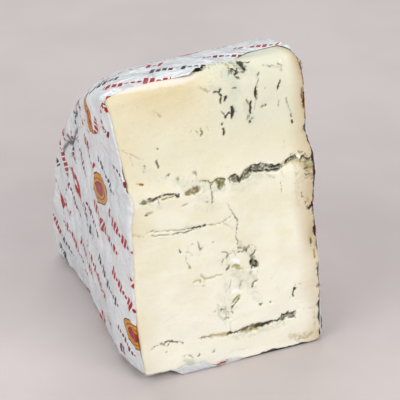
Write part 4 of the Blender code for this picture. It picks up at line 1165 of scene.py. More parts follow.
def relief(at, across, behind, depth, fade, on_front):
    """How far the visible points move in x, y and z."""
    x, z = at[:, 0], at[:, 2]
    smear = rough(at * np.array(SMEAR_STRETCH), SMEAR_SCALE, 61)
    swell = SWELL * rough(at, SWELL_SCALE, 51) + SMEAR * smear + GRIT * noise(at, GRIT_SCALE, 67)
    calm = np.clip(across / CALM_EDGE, CALM_SHARE, 1.0) * smooth(z, BASE_KEPT, BASE_FREE)
    inward = np.where(on_front, (depth + swell) * calm, 0.0)

    at_edge = smooth(across, BASE_WIDTH - CHIPS_FROM, BASE_WIDTH - CHIPS_FULL)
    at_edge *= 1.0 - smooth(behind, *CHIPS_FADE)
    chips = rough(at * np.array((0.0, 0.0, 1.0)), CHIP_SCALE, 57)
    sideways = EDGE_CHIPS * at_edge * np.clip(chips, LEAST_CHIP, MOST_CHIP)

    ragged = rough(at * np.array((1.0, 0.0, 0.0)), TORN_SCALE, 69)
    torn = TORN_BASE_RISE * np.maximum(ragged, 0.0)
    torn *= (1.0 - smooth(z, BASE_KEPT, TORN_HEIGHT)) * (1.0 - smooth(behind, 0.0, TORN_DEPTH))
    lump = LUMP_RISE * bell(x, LUMP_X, LUMP_REACH_X) * bell(behind, 0.0, LUMP_REACH_Y)
    lump *= smooth(z, HEIGHT - LUMP_FROM, HEIGHT - LUMP_FULL)
    crumbs = 0.6 + 0.6 * rough(at, CRUMB_SCALE, 77)
    lump *= crumbs + 0.5 * np.abs(rough(at, SMALL_CRUMB_SCALE, 78))
    dip = np.maximum(depth, 0.0) * TOP_DIP_SHARE + TOP_SMEAR * smear
    dip *= smooth(z, *TOP_DIP_HEIGHTS)
    upward = torn + lump - np.where(on_front, 0.0, dip) * fade
    return np.stack([sideways, inward, upward], -1)


RIND_REACH = 14.0        # the left rind fades over this distance, from outside the left edge
RIND_FROM = -4.0
RIND_SHARE = 0.6
RIND_SCALE = 14.0        # its shade is uneven in patches of this size
TOP_RIND_HEIGHTS = (116.0, 142.0)
TOP_RIND_PLACES = (26.0, 46.0)
CRUST_REACH = 10.5       # width of the brownish right edge, give or take
CRUST_STRAY = 4.0
CRUST_STRAY_SCALE = 16.0
CRUST_LOW_SHARE = 0.45
CRUST_HEIGHTS = (20.0, 60.0)
LOW_CORNER_WIDE = 9.0    # reach of the brownish lower right corner, and its height
LOW_CORNER_HIGH = 6.0
LOW_CORNER_AT = 2.0
UPPER_SHADE_FROM = -6.0         # the upper part is painted darker as shade between these heights over the bend
UPPER_SHADE_TO = 22.0
ROLLED_FROM = -8.0       # but not over the rolled edge on the right
ROLLED_TO = 4.0
ROLLED_PLACES = (48.0, 60.0)
ROLLED_SHARE = 0.8
COOL_PLACES = (36.0, 50.0)
COOL_HEIGHTS = (104.0, 122.0)
LOW_HEIGHTS = (20.0, 66.0)
LOW_STRAY = 6.0
LOW_STRAY_SCALE = 20.0
STRIP_MIDDLE = 0.8       # pale strip along the top edge, this far over it
STRIP_FROM = 1.5
STRIP_TO = 3.3
STRIP_PLACES = (34.0, 40.0)


def shades(points, place):
    """How far each shade of the paste shows at each point."""
    x, z = points[:, 0], points[:, 2]
    top = face_height(points, place)
    uneven = 0.85 + 0.35 * noise(points, RIND_SCALE, 79)
    left_rind = np.maximum(1.0 - np.maximum(x - RIND_FROM, 0.0) / RIND_REACH, 0.0)
    top_rind = smooth(top, *TOP_RIND_HEIGHTS) * (1.0 - smooth(x, *TOP_RIND_PLACES))
    rind = np.maximum(left_rind * RIND_SHARE, top_rind) * uneven
    low_corner = CRUST_LOW_SHARE * bell(place, BASE_WIDTH, LOW_CORNER_WIDE)
    low_corner *= bell(z, LOW_CORNER_AT, LOW_CORNER_HIGH)
    reach = CRUST_REACH + CRUST_STRAY * noise(points, CRUST_STRAY_SCALE, 87)
    edge = 1.0 - smooth(BASE_WIDTH - place, 0.5, reach)
    edge *= mix(CRUST_LOW_SHARE, 1.0, smooth(z, *CRUST_HEIGHTS))
    # Painted shade on the upper part, which lies back; less of it over the rolled edge on the right.
    high = smooth(z, BEND_HEIGHT + UPPER_SHADE_FROM, BEND_HEIGHT + UPPER_SHADE_TO)
    rolled = smooth(top, HEIGHT + ROLLED_FROM, HEIGHT + ROLLED_TO)
    high *= 1.0 - ROLLED_SHARE * rolled * smooth(x, *ROLLED_PLACES)
    wander = 1.1 * noise(points, 6.0, 89) + 0.5 * noise(points, 2.2, 90)
    strip = 1.0 - smooth(np.abs(top - HEIGHT - STRIP_MIDDLE + wander), STRIP_FROM, STRIP_TO)
    low_edge = z + LOW_STRAY * noise(points, LOW_STRAY_SCALE, 85)
    return {
        "rind": np.clip(rind, 0.0, 1.0),
        "crust": np.clip(edge * uneven + low_corner, 0.0, 1.0),
        "high": high,
        "cool": smooth(x, *COOL_PLACES) * smooth(z, *COOL_HEIGHTS),
        "strip": strip * (1.0 - smooth(x, *STRIP_PLACES)),
        "low": 1.0 - smooth(low_edge, *LOW_HEIGHTS),
    }


PASTE = (linear(240, 236, 217), linear(234, 229, 203))
# Shades of the paste, as (attribute, most share, colour).
PASTE_SHADES = (
    ("low", 0.8, linear(245, 241, 226)),
    # high is painted shade on the upper part of the cut face, which lies back.
    ("high", 0.85, linear(223, 216, 189)),
    ("cool", 0.6, linear(216, 217, 196)),
    ("rind", 0.9, linear(217, 201, 158)),
    ("crust", 0.85, linear(194, 172, 132)),
)
# Kinds of mark, as (kind, most share, how far the grain breaks the outline, colour).
STAINS = (
    ("haze", 0.75, 0.1, linear(206, 208, 188)),
    ("ochre", 1.0, 0.25, linear(168, 122, 30)),
    ("tan", 0.95, 0.25, linear(186, 172, 128)),
    ("brown", 0.95, 0.25, linear(132, 100, 70)),
    ("moss", 0.95, 0.25, linear(162, 164, 98)),
    ("grey", 0.95, 0.45, linear(100, 100, 76)),
    ("pale", 0.9, 0.25, linear(196, 200, 188)),
    ("olive", 0.95, 0.45, linear(96, 86, 44)),
    ("dark", 0.95, 0.5, linear(38, 34, 18)),
    # Pale crumbs, brightened with painted highlight.
    ("crumb_highlight", 0.95, 0.1, linear(252, 250, 248)),
)
STAIN_GAIN = 1.15        # a mark reaches its most share before its mask is full
STRIP_SHARE = 0.85
STRIP_SHADE = linear(238, 227, 216)
MOTTLE_FINENESS = 70.0   # scales of the noise textures
GRAIN_FINENESS = (1500.0, 620.0)
PORE_FINENESS = (320.0, 1400.0)
PORE_DEPTH = 0.0003      # metres


def cheese_material():
    """Cream paste with mottling, rind shades and mould."""
    graph = Graph("paste")
    colour = graph.blend(graph.ramp(graph.speckle(MOTTLE_FINENESS), 0.35, 0.68), *PASTE)
    for name, most, shade in PASTE_SHADES:
        colour = graph.blend(graph.share(name, most), colour, shade)
    fine = graph.ramp(graph.speckle(GRAIN_FINENESS[0], 2.0), 0.35, 0.65)
    middling = graph.ramp(graph.speckle(GRAIN_FINENESS[1]), 0.35, 0.65)
    grain = graph.maths("SUBTRACT", graph.maths("ADD", fine, middling), 1.0)
    for kind, most, ragged, shade in STAINS:
        value = graph.value(kind)
        broken = graph.ramp(graph.maths("MULTIPLY_ADD", grain, ragged, value), 0.05, 0.55)
        share = graph.maths("MULTIPLY", graph.maths("MULTIPLY", value, broken), most * STAIN_GAIN)
        colour = graph.blend(graph.maths("MINIMUM", share, most), colour, shade)
    colour = graph.blend(graph.share("strip", STRIP_SHARE), colour, STRIP_SHADE)
    shader = graph.shader.inputs
    graph.feed(shader["Base Color"], colour)
    shader["Roughness"].default_value = 0.5
    shader["Specular IOR Level"].default_value = 0.35
    shader["Subsurface Weight"].default_value = 0.3
    shader["Subsurface Radius"].default_value = (1.0, 0.75, 0.45)
    shader["Subsurface Scale"].default_value = 0.002
    pores = graph.maths("MULTIPLY_ADD", graph.speckle(PORE_FINENESS[0]), 1.5,
                        graph.speckle(PORE_FINENESS[1], 2.0))
    graph.feed(shader["Normal"], graph.bump(pores, 0.4, PORE_DEPTH))
    return graph.material


# ---- Foil -------------------------------------------------------------------------------------
SHEET = 0.16             # thickness of the drawn foil
LAYER = 0.35             # a flap lies this far above the sheet below it
LEAST_STAND = 0.25       # the foil's grooves keep this far from the cheese
FLAP_DEPTH = 13.0        # how far the rim sheet is folded over the sides, give or take
FLAP_WAVER = 6.0
LEAST_FLAP = 4.0
BASE_FLAP = 9.0          # the same for the base sheet
BASE_FLAP_WAVER = 5.0
LEAST_BASE_FLAP = 3.0
FOIL_LIP = 1.0           # the side sheets stand this far before the cut face, give or take
RIGHT_LIP_SHARE = 0.4
LEAST_LIP = 0.1
HELD_SHARE = 0.1         # share of the creases' height at the front edge, where the foil is held
HELD_DEPTH = 0.08        # they reach their full height at this share of the depth
LEFT_STEP = 0.7          # spacing of the side sheets' meshes
RIGHT_STEP = 1.1
# How far the left sheet's front edge folds over the cut face, as (height, distance).
OVER_FACE = ((0.0, 0.3), (48.0, 0.4), (75.0, 1.0), (95.0, 1.8), (97.5, 0.5), (142.0, 0.6))
# How far the rim sheet's front edge stands off the paste, as (place, gap): it gapes beside the lump.
EDGE_GAP = ((30.0, 0.2), (36.0, 0.9), (43.0, 1.5), (46.0, 0.4), (56.0, 0.3))


# Crumpled facets and the smaller ones between them, as (size, bend of their outlines, height and
# width of the ridges, rise of a facet towards its edge, seed).
FACETS = (
    (19.0, 5.0, 0.495, 0.35, 0.275, 81),
    (6.5, 2.0, 0.30, 0.3, 0.15, 82),
)
BEND_SCALE = 24.0
CREASE_MIDDLE = 0.25
MOST_CREASE = 1.7
WAVES = 0.35             # slow waves of the sheet
WAVES_SCALE = 40.0


def creases(points):
    """How far the foil stands off the cheese: crumpled facets, folds and fine crinkles."""
    bend = np.stack([noise(points, BEND_SCALE, seed) for seed in (71, 72, 73)], -1)
    total = np.full(points.shape[:-1], CREASE_MIDDLE)
    for size, bent, ridge, width, rise, seed in FACETS:
        near, following = cells(points + bent * bend, size, seed)
        total += ridge * (1.0 - smooth(following - near, 0.0, width)) + rise * near
    return np.clip(total + WAVES * noise(points, WAVES_SCALE, 83), 0.0, MOST_CREASE)


# Long folds of the left side, as (rise, ((depth, height, half width), ...)). The first two sink in.
FOLDS = (
    (-0.6, ((69, 114, 0.3), (74, 110, 0.5), (78, 104, 0.4), (84, 98, 0.5), (80, 95, 0.3),
            (84, 90, 0.5), (91, 82, 0.4), (97, 80, 0.2), (106, 73, 0.3), (108, 69, 0.2))),
    (-0.5, ((98, 83, 0.2), (91, 82, 0.4), (88, 81, 0.2))),
    (0.9, ((13, 137, 0.5), (8, 132, 0.8), (7, 126, 0.5))),
    (0.9, ((7, 136, 0.4), (4, 133, 0.7), (3, 126, 0.5))),
    (0.8, ((3, 130, 0.4), (3, 117, 0.5), (6, 102, 0.4))),
    (0.9, ((23, 91, 0.4), (10, 95, 0.5), (1, 100, 0.5))),
    (0.7, ((53, 95, 0.4), (47, 91, 0.5), (41, 86, 0.4))),
    (0.8, ((36, 79, 0.4), (34, 61, 0.5), (29, 45, 0.4))),
    (1.1, ((30, 30, 0.4), (30, 12, 0.8), (28, 2, 0.6))),
    (0.8, ((5, 38, 0.4), (2, 25, 0.6), (4, 7, 0.5))),
    (0.9, ((115, 51, 0.5), (102, 39, 0.6), (93, 23, 0.5))),
    (0.8, ((61, 70, 0.5), (66, 44, 0.6), (59, 25, 0.5))),
)
FOLD_SPREAD = 1.3        # distance over which a fold rises
GROOVE_SHADE_SPREAD = 1.3      # and over which the painted shade of a sunk one fades


def folds(spots):
    """How far the long folds stand off the left side, and the painted shade in the sunk ones."""
    total, painted_shade = np.zeros(spots.shape[:-1]), np.zeros(spots.shape[:-1])
    for rise, line in FOLDS:
        reach = line_distance(spots.reshape(-1, 2), line).reshape(total.shape)
        total += rise * np.exp(-(np.maximum(reach, 0.0) / FOLD_SPREAD) ** 2)
        if rise < 0:
            painted_shade = np.maximum(painted_shade, 1.0 - smooth(reach, 0.0, GROOVE_SHADE_SPREAD))
    return total, painted_shade


def shell(name, top_grid, normals_out, values, material):
    """Thin closed sheet: the outer grid, an inner grid behind it and a border between."""
    rows, across = top_grid.shape[:2]
    outer = top_grid.reshape(-1, 3)
    inner = outer - SHEET * normals_out.reshape(-1, 3)
    number = np.arange(rows * across).reshape(rows, across)
    back = number + rows * across
    faces = [grid_faces(number), grid_faces(back)[:, ::-1]]
    border = np.concatenate([number[0, :], number[1:, -1], number[-1, -2::-1], number[-2:0:-1, 0]])
    inner_border = border + rows * across
    faces.append(np.stack([np.roll(border, -1), border, inner_border,
                           np.roll(inner_border, -1)], -1))
    points = np.concatenate([outer, inner])
    values = {key: np.tile(np.ravel(value), 2) for key, value in values.items()}
    return build_mesh(name, points, np.concatenate(faces).tolist(), values, material)


def grid_normals(grid):
    """Unit normals of a grid of points, towards its face side."""
    across = np.gradient(grid, axis=1)
    down = np.gradient(grid, axis=0)
    normal = np.cross(across, down)
    return normal / np.maximum(np.linalg.norm(normal, axis=-1, keepdims=True), 1e-9)


# Where the sheets lie on the printed foil, as distances along and across it.
SIDE_PRINT = (-25.0, 36.0)
RIGHT_PRINT = 260.0
RIM_PRINT = (322.0, 251.0)
BASE_PRINT = 435.4


def side_sheet(name, edge, step, material):
    """Sheet over one flat side, from the open front to under the rim flap."""
    count = round(RADIUS / step)
    columns = Columns([0.0], [], []) if edge < 0 else Columns([], [], [0.0])
    v, height = np.meshgrid(np.linspace(0.0, 1.0, count + 1), np.linspace(0.0, HEIGHT, count + 1))
    both = columns.take(np.zeros(v.shape, int))
    bare = skin(both, v, height, 0.0)
    grow = FOIL_GAP + creases(bare) * mix(HELD_SHARE, 1.0, smooth(v, 0.0, HELD_DEPTH))
    # Painted shade in the sunk folds, none on the right side.
    painted_shades = np.zeros(v.shape)
    if edge < 0:
        stands, painted_shades = folds(bare[..., 1:])
        grow = np.maximum(grow + stands, LEAST_STAND)
    grid = skin(both, v, height, grow)
    lip = FOIL_LIP * (0.7 + 0.6 * noise(bare[:, 0], 5.0, 91))
    if edge < 0:
        over = along(OVER_FACE, bare[:, 0, 2])
        grid[:, 0, 0] += over
        lip = lip + 0.5 * over
    else:
        lip = RIGHT_LIP_SHARE * (lip + 0.6 * noise(bare[:, 0], 2.2, 92))
    grid[:, 0, 1] -= np.maximum(lip, LEAST_LIP)
    values = {"sheet_u": bare[..., 1] + SIDE_PRINT[0], "sheet_v": bare[..., 2] + SIDE_PRINT[1],
              "painted_shade": painted_shades}
    if edge > 0:
        grid, values = grid[:, ::-1], {key: value[:, ::-1] for key, value in values.items()}
        values["sheet_u"] = RIGHT_PRINT - values["sheet_u"]
    return shell(name, grid, grid_normals(grid), values, material)


RIM_ROWS = 250           # mesh of the rim sheet
RIM_ACROSS = 104
RIM_FLAP_STEPS = 12
RIM_EDGE_STEPS = 5
RIM_CALM = 0.7           # share of the creases' height on the rim, against its flaps
RIM_CALM_FROM = 3.0
RIM_CALM_TO = 12.0
RIM_HELD = 0.03          # the rim's sheet is held over this share behind its front edge


def wrapped_columns(flap_steps, edge_steps, across_count):
    """Columns of a sheet with a flap over both sides, and each column's share of the flap."""
    turned = np.linspace(0.0, 90.0, edge_steps + 1)
    left_turns = [0.0] * flap_steps + list(turned)
    columns = Columns(left_turns, np.arange(1, across_count) / across_count, left_turns[::-1])
    share = np.zeros(len(columns.across))
    steps = np.linspace(1.0, 0.0, flap_steps + 1)[:-1]
    share[:flap_steps] = steps
    share[-flap_steps:] = steps[::-1]
    return columns, share


def rim_sheet(material):
    """Sheet round the rim, folded over both sides with uneven edges."""
    columns, flap = wrapped_columns(RIM_FLAP_STEPS, RIM_EDGE_STEPS, RIM_ACROSS)
    shares = np.linspace(0.0, 1.0, RIM_ROWS)
    i, j = np.meshgrid(np.arange(len(columns.across)), np.arange(RIM_ROWS))
    both = columns.take(i)
    setback = along(TOP_SETBACK, both.place) / RADIUS / 2
    share = mix(setback, 1.0, shares[j])
    line = np.stack([share * 225.0, np.zeros(share.shape), both.edge * 50.0], -1)
    inward = flap[i] * np.maximum(FLAP_DEPTH + FLAP_WAVER * rough(line, 26.0, 95), LEAST_FLAP)
    bare = rim_grid(both, share, np.zeros(share.shape), inward)
    loose = smooth(share - setback, 0.0, RIM_HELD)
    on_left = both.edge < 0
    # Painted shade in the sunk folds, kept on the left flap only.
    stands, painted_shades = folds(bare[..., 1:])
    from_side = np.minimum(both.place, BASE_WIDTH - both.place)
    calm = mix(1.0, RIM_CALM, smooth(from_side, RIM_CALM_FROM, RIM_CALM_TO))
    lift = creases(bare) * calm * mix(HELD_SHARE, 1.0, loose) + stands * on_left
    hug = along(EDGE_GAP, both.place)
    grow = np.maximum(mix(hug, FOIL_GAP + LAYER, loose) + lift, LEAST_STAND + LAYER * loose)
    grid = rim_grid(both, share, grow, inward)
    arc = share * math.radians(90.0) * RADIUS
    values = {"sheet_u": RIM_PRINT[0] + both.place + inward * both.edge,
              "sheet_v": RIM_PRINT[1] - arc, "painted_shade": painted_shades * on_left}
    return shell("foil_rim", grid, grid_normals(grid), values, material)


def rim_grid(columns, share, grow, inward):
    """Points of the rim's sheet, moved out by grow and drawn inward on the folded flaps."""
    inset, base_inset = insets(columns, grow, inward)
    base_z = FOIL_THICKNESS + FOIL_GAP + base_inset
    start = rim_point(columns.place, 0.0, inset, base_z)
    y, z = rim_point(columns.place, share, inset, base_z)
    set_in = columns.front_radius * (1.0 - np.sin(columns.turn))
    y = y + (face_lean(columns.place, HEIGHT) + set_in - start[0]) * np.maximum(1.0 - 2 * share, 0)
    behind = np.maximum(y - face_lean(columns.place, HEIGHT) - set_in, 0.0)
    y, z = roll_over(columns.place, y, z, np.zeros(y.shape), behind)
    x = stand(columns, y, z, grow)
    return np.stack([x, y, z], -1)


HEM_FROM = 12.0          # crumpled hem that peeps out under the cut face
HEM_TO = 50.0
HEM_FADE_IN = 5.0
HEM_FADE_OUT = 6.0
HEM_LIP = 1.7            # it stands this far before the cut face, give or take
HEM_LEAST_LIP = 0.4      # and the rest of the edge this far
HEM_CRUMPLE = 0.5
HEM_CRUMPLE_RISE = 1.2
HEM_CRUMPLE_SCALE = 3.4
# How far the hem's lip rises, as (place, height).
HEM_RISE = ((12.0, 0.0), (16.0, 1.5), (19.0, 4.4), (24.0, 3.8), (29.0, 4.6), (33.0, 1.2),
            (39.0, 0.8), (42.0, 2.4), (46.0, 2.0), (50.0, 0.0))
HEM_ROWS = 10
BASE_ROWS = 110          # mesh of the base sheet
BASE_ACROSS = 110
BASE_FLAP_STEPS = 8
BASE_EDGE_STEPS = 4
BASE_DRAWN_IN = 0.9      # beside the hem the base sheet ends behind the cut face
SHADOW_EDGE = 4.0        # and its edge is painted dark as shadow from this far beside the end of the hem


def base_sheet(material):
    """Sheet under the base, folded up over both sides, with a crumpled hem in front and painted
    shadow along its front edge beside the hem.
    """
    columns, flap = wrapped_columns(BASE_FLAP_STEPS, BASE_EDGE_STEPS, BASE_ACROSS)
    lips = np.concatenate([np.linspace(1.0, 0.0, HEM_ROWS + 1)[:-1], np.zeros(BASE_ROWS)])
    depth = np.concatenate([np.zeros(HEM_ROWS), np.linspace(0.0, 1.0, BASE_ROWS) ** 1.2])
    i, j = np.meshgrid(np.arange(len(columns.across)), np.arange(len(depth)))
    both, v, reach = columns.take(i), depth[j], lips[j]
    line = np.stack([v * RADIUS, np.full(v.shape, 7.0), both.edge * 50.0], -1)
    flap_depth = np.maximum(BASE_FLAP + BASE_FLAP_WAVER * rough(line, 24.0, 97), LEAST_BASE_FLAP)
    height = flap[i] * flap_depth
    bare = skin(both, v, height, 0.0)
    up = smooth(height, 0.0, LEAST_BASE_FLAP)
    grid = skin(both, v, height, mix(FLOOR_ROOM, FOIL_GAP + LAYER + creases(bare), up))

    none = np.zeros(v.shape)
    hem = smooth(both.place, HEM_FROM, HEM_FROM + HEM_FADE_IN)
    hem = hem * (1.0 - smooth(both.place, HEM_TO - HEM_FADE_OUT, HEM_TO))
    crumple = rough(np.stack([grid[..., 0], reach * 4.0, none], -1), HEM_CRUMPLE_SCALE, 98)
    uneven = 0.75 + 0.45 * noise(np.stack([grid[..., 0], none, none], -1), 7.0, 99)
    forward = reach ** 0.6 * hem * (HEM_LIP * uneven + HEM_CRUMPLE * crumple)
    forward = forward + HEM_LEAST_LIP * reach * (1.0 - hem)
    drawn_in = BASE_DRAWN_IN * (1.0 - hem) * (1.0 - smooth(v, 0.0, 0.05))
    grid[..., 1] += drawn_in - forward
    rise = along(HEM_RISE, both.place) + hem * HEM_CRUMPLE_RISE * np.abs(crumple)
    grid[..., 2] += reach ** 1.5 * rise
    # Painted shadow along the front edge, where it lies under the cut face beside the hem.
    edge_shadow = smooth(both.place, HEM_TO - SHADOW_EDGE, HEM_TO + SHADOW_EDGE)
    values = {"sheet_u": bare[..., 1] + reach * 5.0, "sheet_v": BASE_PRINT + both.place,
              "painted_shade": edge_shadow * (1.0 - smooth(v, 0.0, 0.03))}
    grid = grid[::-1]
    values = {key: value[::-1] for key, value in values.items()}
    return shell("foil_base", grid, grid_normals(grid), values, material)


COATING = (linear(221, 223, 224), linear(234, 235, 236))
CREASE_SHADE = linear(170, 176, 184)     # painted shade along the creases
CREASE_SHADE_SHARE = 0.2
# Painted shade in the sunk grooves and painted shadow along the base sheet's front edge.
PAINTED_SHADE_COLOUR = linear(44, 44, 48)
PAINTED_SHADE_SHARE = 0.9
CLOUD_FINENESS = 60.0    # scales of the noise textures
GLOSS_FINENESS = 90.0
DIMPLE_FINENESS = 110.0
LONG_FOLDS = (46.0, (1.0, 1.0, 0.35), 0.10)
CRINKLES = (170.0, (1.0, 1.0, 0.8), 0.16)
CREASE_DEPTH = 0.0006    # metres


def foil_material():
    """Crinkled foil with a pale coating, printed with plain marks, with painted shade along the
    creases, in the sunk grooves and along the base sheet's front edge.
    """
    graph = Graph("foil")
    pale = graph.blend(graph.ramp(graph.speckle(CLOUD_FINENESS), 0.3, 0.7), *COATING)
    long_folds = graph.ridges(*LONG_FOLDS)
    crinkles = graph.ridges(*CRINKLES)
    colour = graph.blend(graph.maths("MULTIPLY", long_folds, CREASE_SHADE_SHARE), printed(graph, pale),
                         CREASE_SHADE)
    colour = graph.blend(graph.share("painted_shade", PAINTED_SHADE_SHARE), colour, PAINTED_SHADE_COLOUR)
    shader = graph.shader.inputs
    graph.feed(shader["Base Color"], colour)
    gloss = graph.speckle(GLOSS_FINENESS)
    graph.feed(shader["Roughness"], graph.maths("MULTIPLY_ADD", gloss, 0.3, 0.28))
    shader["Metallic"].default_value = 0.1
    folds_height = graph.maths("MULTIPLY_ADD", long_folds, 2.4, crinkles)
    folds_height = graph.maths("ADD", folds_height, graph.speckle(DIMPLE_FINENESS))
    graph.feed(shader["Normal"], graph.bump(folds_height, 0.6, CREASE_DEPTH))
    return graph.material


# The print is generic: rows of plain bars and dots, with ringed discs and lozenges.
ROW_SLANT = 65.0         # the rows run this many degrees from upright
ROW_SPACING = 14.0
MARK_PITCH = 2.7         # from one bar or dot to the next
DOT_SHARE = 0.35         # share of the marks that are dots; the rest are bars
GROUP_PITCH = 43.0       # a group of marks and the gap after it
GROUP_SHIFT = 17.0       # each row is shifted this much against the one before
LEAST_GROUP = 15.0
MOST_GROUP = 35.0
BAR_HALF = 0.95          # half height of the lowest bars
BAR_MORE = 0.9           # the tallest are this much taller
BAR_SHARE = 0.36         # half thickness of a bar as a share of the pitch
DOT_RADIUS = 1.0
LARGE_FROM = 0.55        # groups with a chance above this are large, and of a brighter red
LARGE_MORE = 0.75
DARK_EVERY = 4.0         # one row in so many is dark
MOTIF_RUN = 92.0         # spacing of the discs and lozenges, which take turns
MOTIF_ROWS = 3
MOTIF_STAGGER = 0.42
RING_RADIUS = 7.0
RING_STRETCH = 1.5
LOZENGE_LONG = 16.0
LOZENGE_HALF = 5.0
CLEAR = 1.25             # rows keep clear of the motifs by this much of their size
RED = linear(128, 0, 28)
BRIGHT_RED = linear(172, 2, 10)
AMBER = linear(216, 140, 22)
BROWN = linear(92, 52, 8)
INK = linear(14, 16, 24)
# Colours of a disc from its middle out, as (share of its size, colour).
DISC = ((0.4, BRIGHT_RED), (0.46, BROWN), (0.62, AMBER), (0.68, BROWN), (0.92, AMBER), (1.0, BROWN))


def printed(graph, pale):
    """Slanted rows of bars and dots in groups, with discs and lozenges between them."""
    maths = graph.maths
    cos, sin = math.cos(math.radians(ROW_SLANT)), math.sin(math.radians(ROW_SLANT))
    u, v = graph.value("sheet_u"), graph.value("sheet_v")
    run = maths("MULTIPLY_ADD", u, sin, maths("MULTIPLY", v, cos))
    side = maths("SUBTRACT", maths("MULTIPLY", v, sin), maths("MULTIPLY", u, cos))
    row, off = graph.lattice(side, ROW_SPACING)
    group, in_group = graph.lattice(maths("MULTIPLY_ADD", row, GROUP_SHIFT, run), GROUP_PITCH)
    mark, at_mark = graph.lattice(in_group, MARK_PITCH)
    group_chance = graph.chance(group, row, 0.0)
    mark_chance = graph.chance(mark, row, group)
    length = maths("MULTIPLY_ADD", group_chance, (MOST_GROUP - LEAST_GROUP) / 2, LEAST_GROUP / 2)
    shown = maths("LESS_THAN", maths("ABSOLUTE", in_group), length)
    large = maths("GREATER_THAN", group_chance, LARGE_FROM)
    size = maths("MULTIPLY_ADD", large, LARGE_MORE, 1.0)
    half = maths("MULTIPLY", maths("MULTIPLY_ADD", mark_chance, BAR_MORE, BAR_HALF), size)
    bar = maths("MULTIPLY", maths("LESS_THAN", maths("ABSOLUTE", off), half),
                maths("LESS_THAN", maths("ABSOLUTE", at_mark), MARK_PITCH * BAR_SHARE))
    dot = maths("LESS_THAN", graph.length(at_mark, off), DOT_RADIUS)
    ink = maths("MULTIPLY", graph.pick(maths("LESS_THAN", mark_chance, DOT_SHARE), bar, dot), shown)
    dark = maths("LESS_THAN", maths("WRAP", row, DARK_EVERY, 0.0), 0.5)
    shade = graph.blend(dark, graph.blend(large, RED, BRIGHT_RED), INK)

    column, beside = graph.lattice(side, MOTIF_ROWS * ROW_SPACING)
    moved = maths("MULTIPLY_ADD", column, MOTIF_RUN * MOTIF_STAGGER, run)
    order, ahead = graph.lattice(moved, MOTIF_RUN)
    level = maths("MULTIPLY_ADD", ahead, cos, maths("MULTIPLY", beside, sin))
    depth = maths("SUBTRACT", maths("MULTIPLY", ahead, sin), maths("MULTIPLY", beside, cos))
    ring = graph.length(maths("DIVIDE", depth, RING_RADIUS * RING_STRETCH),
                        maths("DIVIDE", level, RING_RADIUS))
    lozenge = maths("ADD", maths("DIVIDE", maths("ABSOLUTE", ahead), LOZENGE_LONG),
                    maths("DIVIDE", maths("ABSOLUTE", beside), LOZENGE_HALF))
    even = maths("LESS_THAN", maths("WRAP", maths("ADD", order, column), 2.0, 0.0), 0.5)
    near = graph.pick(even, ring, lozenge)
    ink = maths("MULTIPLY", ink, maths("GREATER_THAN", near, CLEAR))
    gem = graph.bands(near, ((0.26, pale), (0.86, BRIGHT_RED), (0.92, pale), (1.0, BRIGHT_RED)))
    motif = graph.blend(even, graph.bands(near, DISC), gem)
    colour = graph.blend(ink, pale, shade)
    return graph.blend(maths("LESS_THAN", near, 1.0), colour, motif)


# ---- Stage ------------------------------------------------------------------------------------
FLOOR_HALF = 3.0         # metres
FLOOR_TONES = (linear(205, 195, 193), linear(198, 188, 186))
# Soft lights, as (name, azimuth, rise, distance, size, power, colour), in degrees, metres and watts.
LIGHTS = (
    ("key", 15.0, 30.0, 1.5, 0.9, 11.5, (1.0, 0.985, 0.97)),
    ("fill", -70.0, 35.0, 1.8, 1.4, 15.0, (0.95, 0.99, 1.0)),
    ("back", 170.0, 60.0, 1.8, 1.2, 10.5, (1.0, 1.0, 1.0)),
)
LIGHTS_AIM = Vector((0.0, 0.0, 0.07))
SURROUNDINGS = (0.9, 0.92, 0.95, 1.0)
SURROUNDINGS_STRENGTH = 0.45


def make_camera():
    """Camera at the photograph's viewing angle."""
    stands_at, right, up, back = view()
    camera = bpy.data.cameras.new("camera")
    camera.sensor_width = SENSOR
    camera.lens = FOCAL_PIXELS / FRAME_PIXELS * SENSOR
    item = bpy.data.objects.new("camera", camera)
    bpy.context.collection.objects.link(item)
    turned = Matrix((right, up, back)).transposed().to_4x4()
    item.matrix_world = Matrix.Translation(stands_at) @ turned
    bpy.context.scene.camera = item


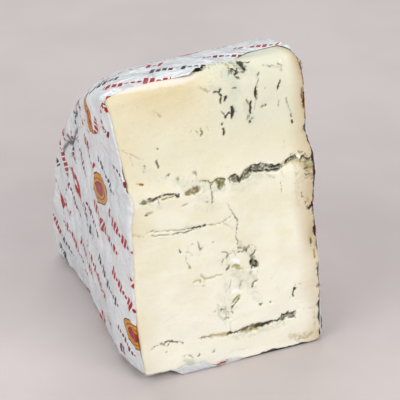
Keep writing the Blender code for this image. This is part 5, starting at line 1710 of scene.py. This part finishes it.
def make_light(name, azimuth, rise, distance, size, power, colour):
    """Square soft light that faces the portion; azimuth 0 is in front of the cut face."""
    turn, lift = math.radians(azimuth), math.radians(rise)
    towards = Vector((math.sin(turn) * math.cos(lift), -math.cos(turn) * math.cos(lift),
                      math.sin(lift)))
    light = bpy.data.lights.new(name, "AREA")
    light.size = size
    light.energy = power
    light.color = colour
    item = bpy.data.objects.new(name, light)
    bpy.context.collection.objects.link(item)
    item.location = towards * distance + LIGHTS_AIM
    item.rotation_euler = towards.to_track_quat("Z", "Y").to_euler()


def make_floor():
    """Pale floor."""
    mesh = bpy.data.meshes.new("floor")
    corners = [(x * FLOOR_HALF, y * FLOOR_HALF, 0.0) for x, y in ((-1, -1), (1, -1), (1, 1), (-1, 1))]
    mesh.from_pydata(corners, [], [(0, 1, 2, 3)])
    graph = Graph("floor")
    tone = graph.blend(graph.ramp(graph.speckle(14.0), 0.3, 0.7), *FLOOR_TONES)
    graph.feed(graph.shader.inputs["Base Color"], tone)
    graph.shader.inputs["Roughness"].default_value = 0.7
    mesh.materials.append(graph.material)
    floor = bpy.data.objects.new("floor", mesh)
    bpy.context.collection.objects.link(floor)


def make_stage():
    """Floor, soft lights and pale surroundings."""
    make_floor()
    for light in LIGHTS:
        make_light(*light)
    world = bpy.data.worlds.new("surroundings")
    bpy.context.scene.world = world
    world.use_nodes = True
    background = world.node_tree.nodes["Background"]
    background.inputs["Color"].default_value = SURROUNDINGS
    background.inputs["Strength"].default_value = SURROUNDINGS_STRENGTH
    bpy.context.scene.view_settings.view_transform = "Standard"


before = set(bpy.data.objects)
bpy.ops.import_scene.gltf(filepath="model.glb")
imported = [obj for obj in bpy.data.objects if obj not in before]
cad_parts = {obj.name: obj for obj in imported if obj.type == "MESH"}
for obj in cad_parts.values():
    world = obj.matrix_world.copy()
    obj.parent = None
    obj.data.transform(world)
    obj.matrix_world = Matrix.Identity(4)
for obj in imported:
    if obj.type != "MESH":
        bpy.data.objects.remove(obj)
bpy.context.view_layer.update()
cheese = make_cheese(cheese_material())
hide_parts("cheese")
foil_look = foil_material()
sheets = (
    side_sheet("foil_left", -1, LEFT_STEP, foil_look),
    side_sheet("foil_right", 1, RIGHT_STEP, foil_look),
    rim_sheet(foil_look),
    base_sheet(foil_look),
)
for sheet in sheets:
    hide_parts("foil")
make_stage()
make_camera()
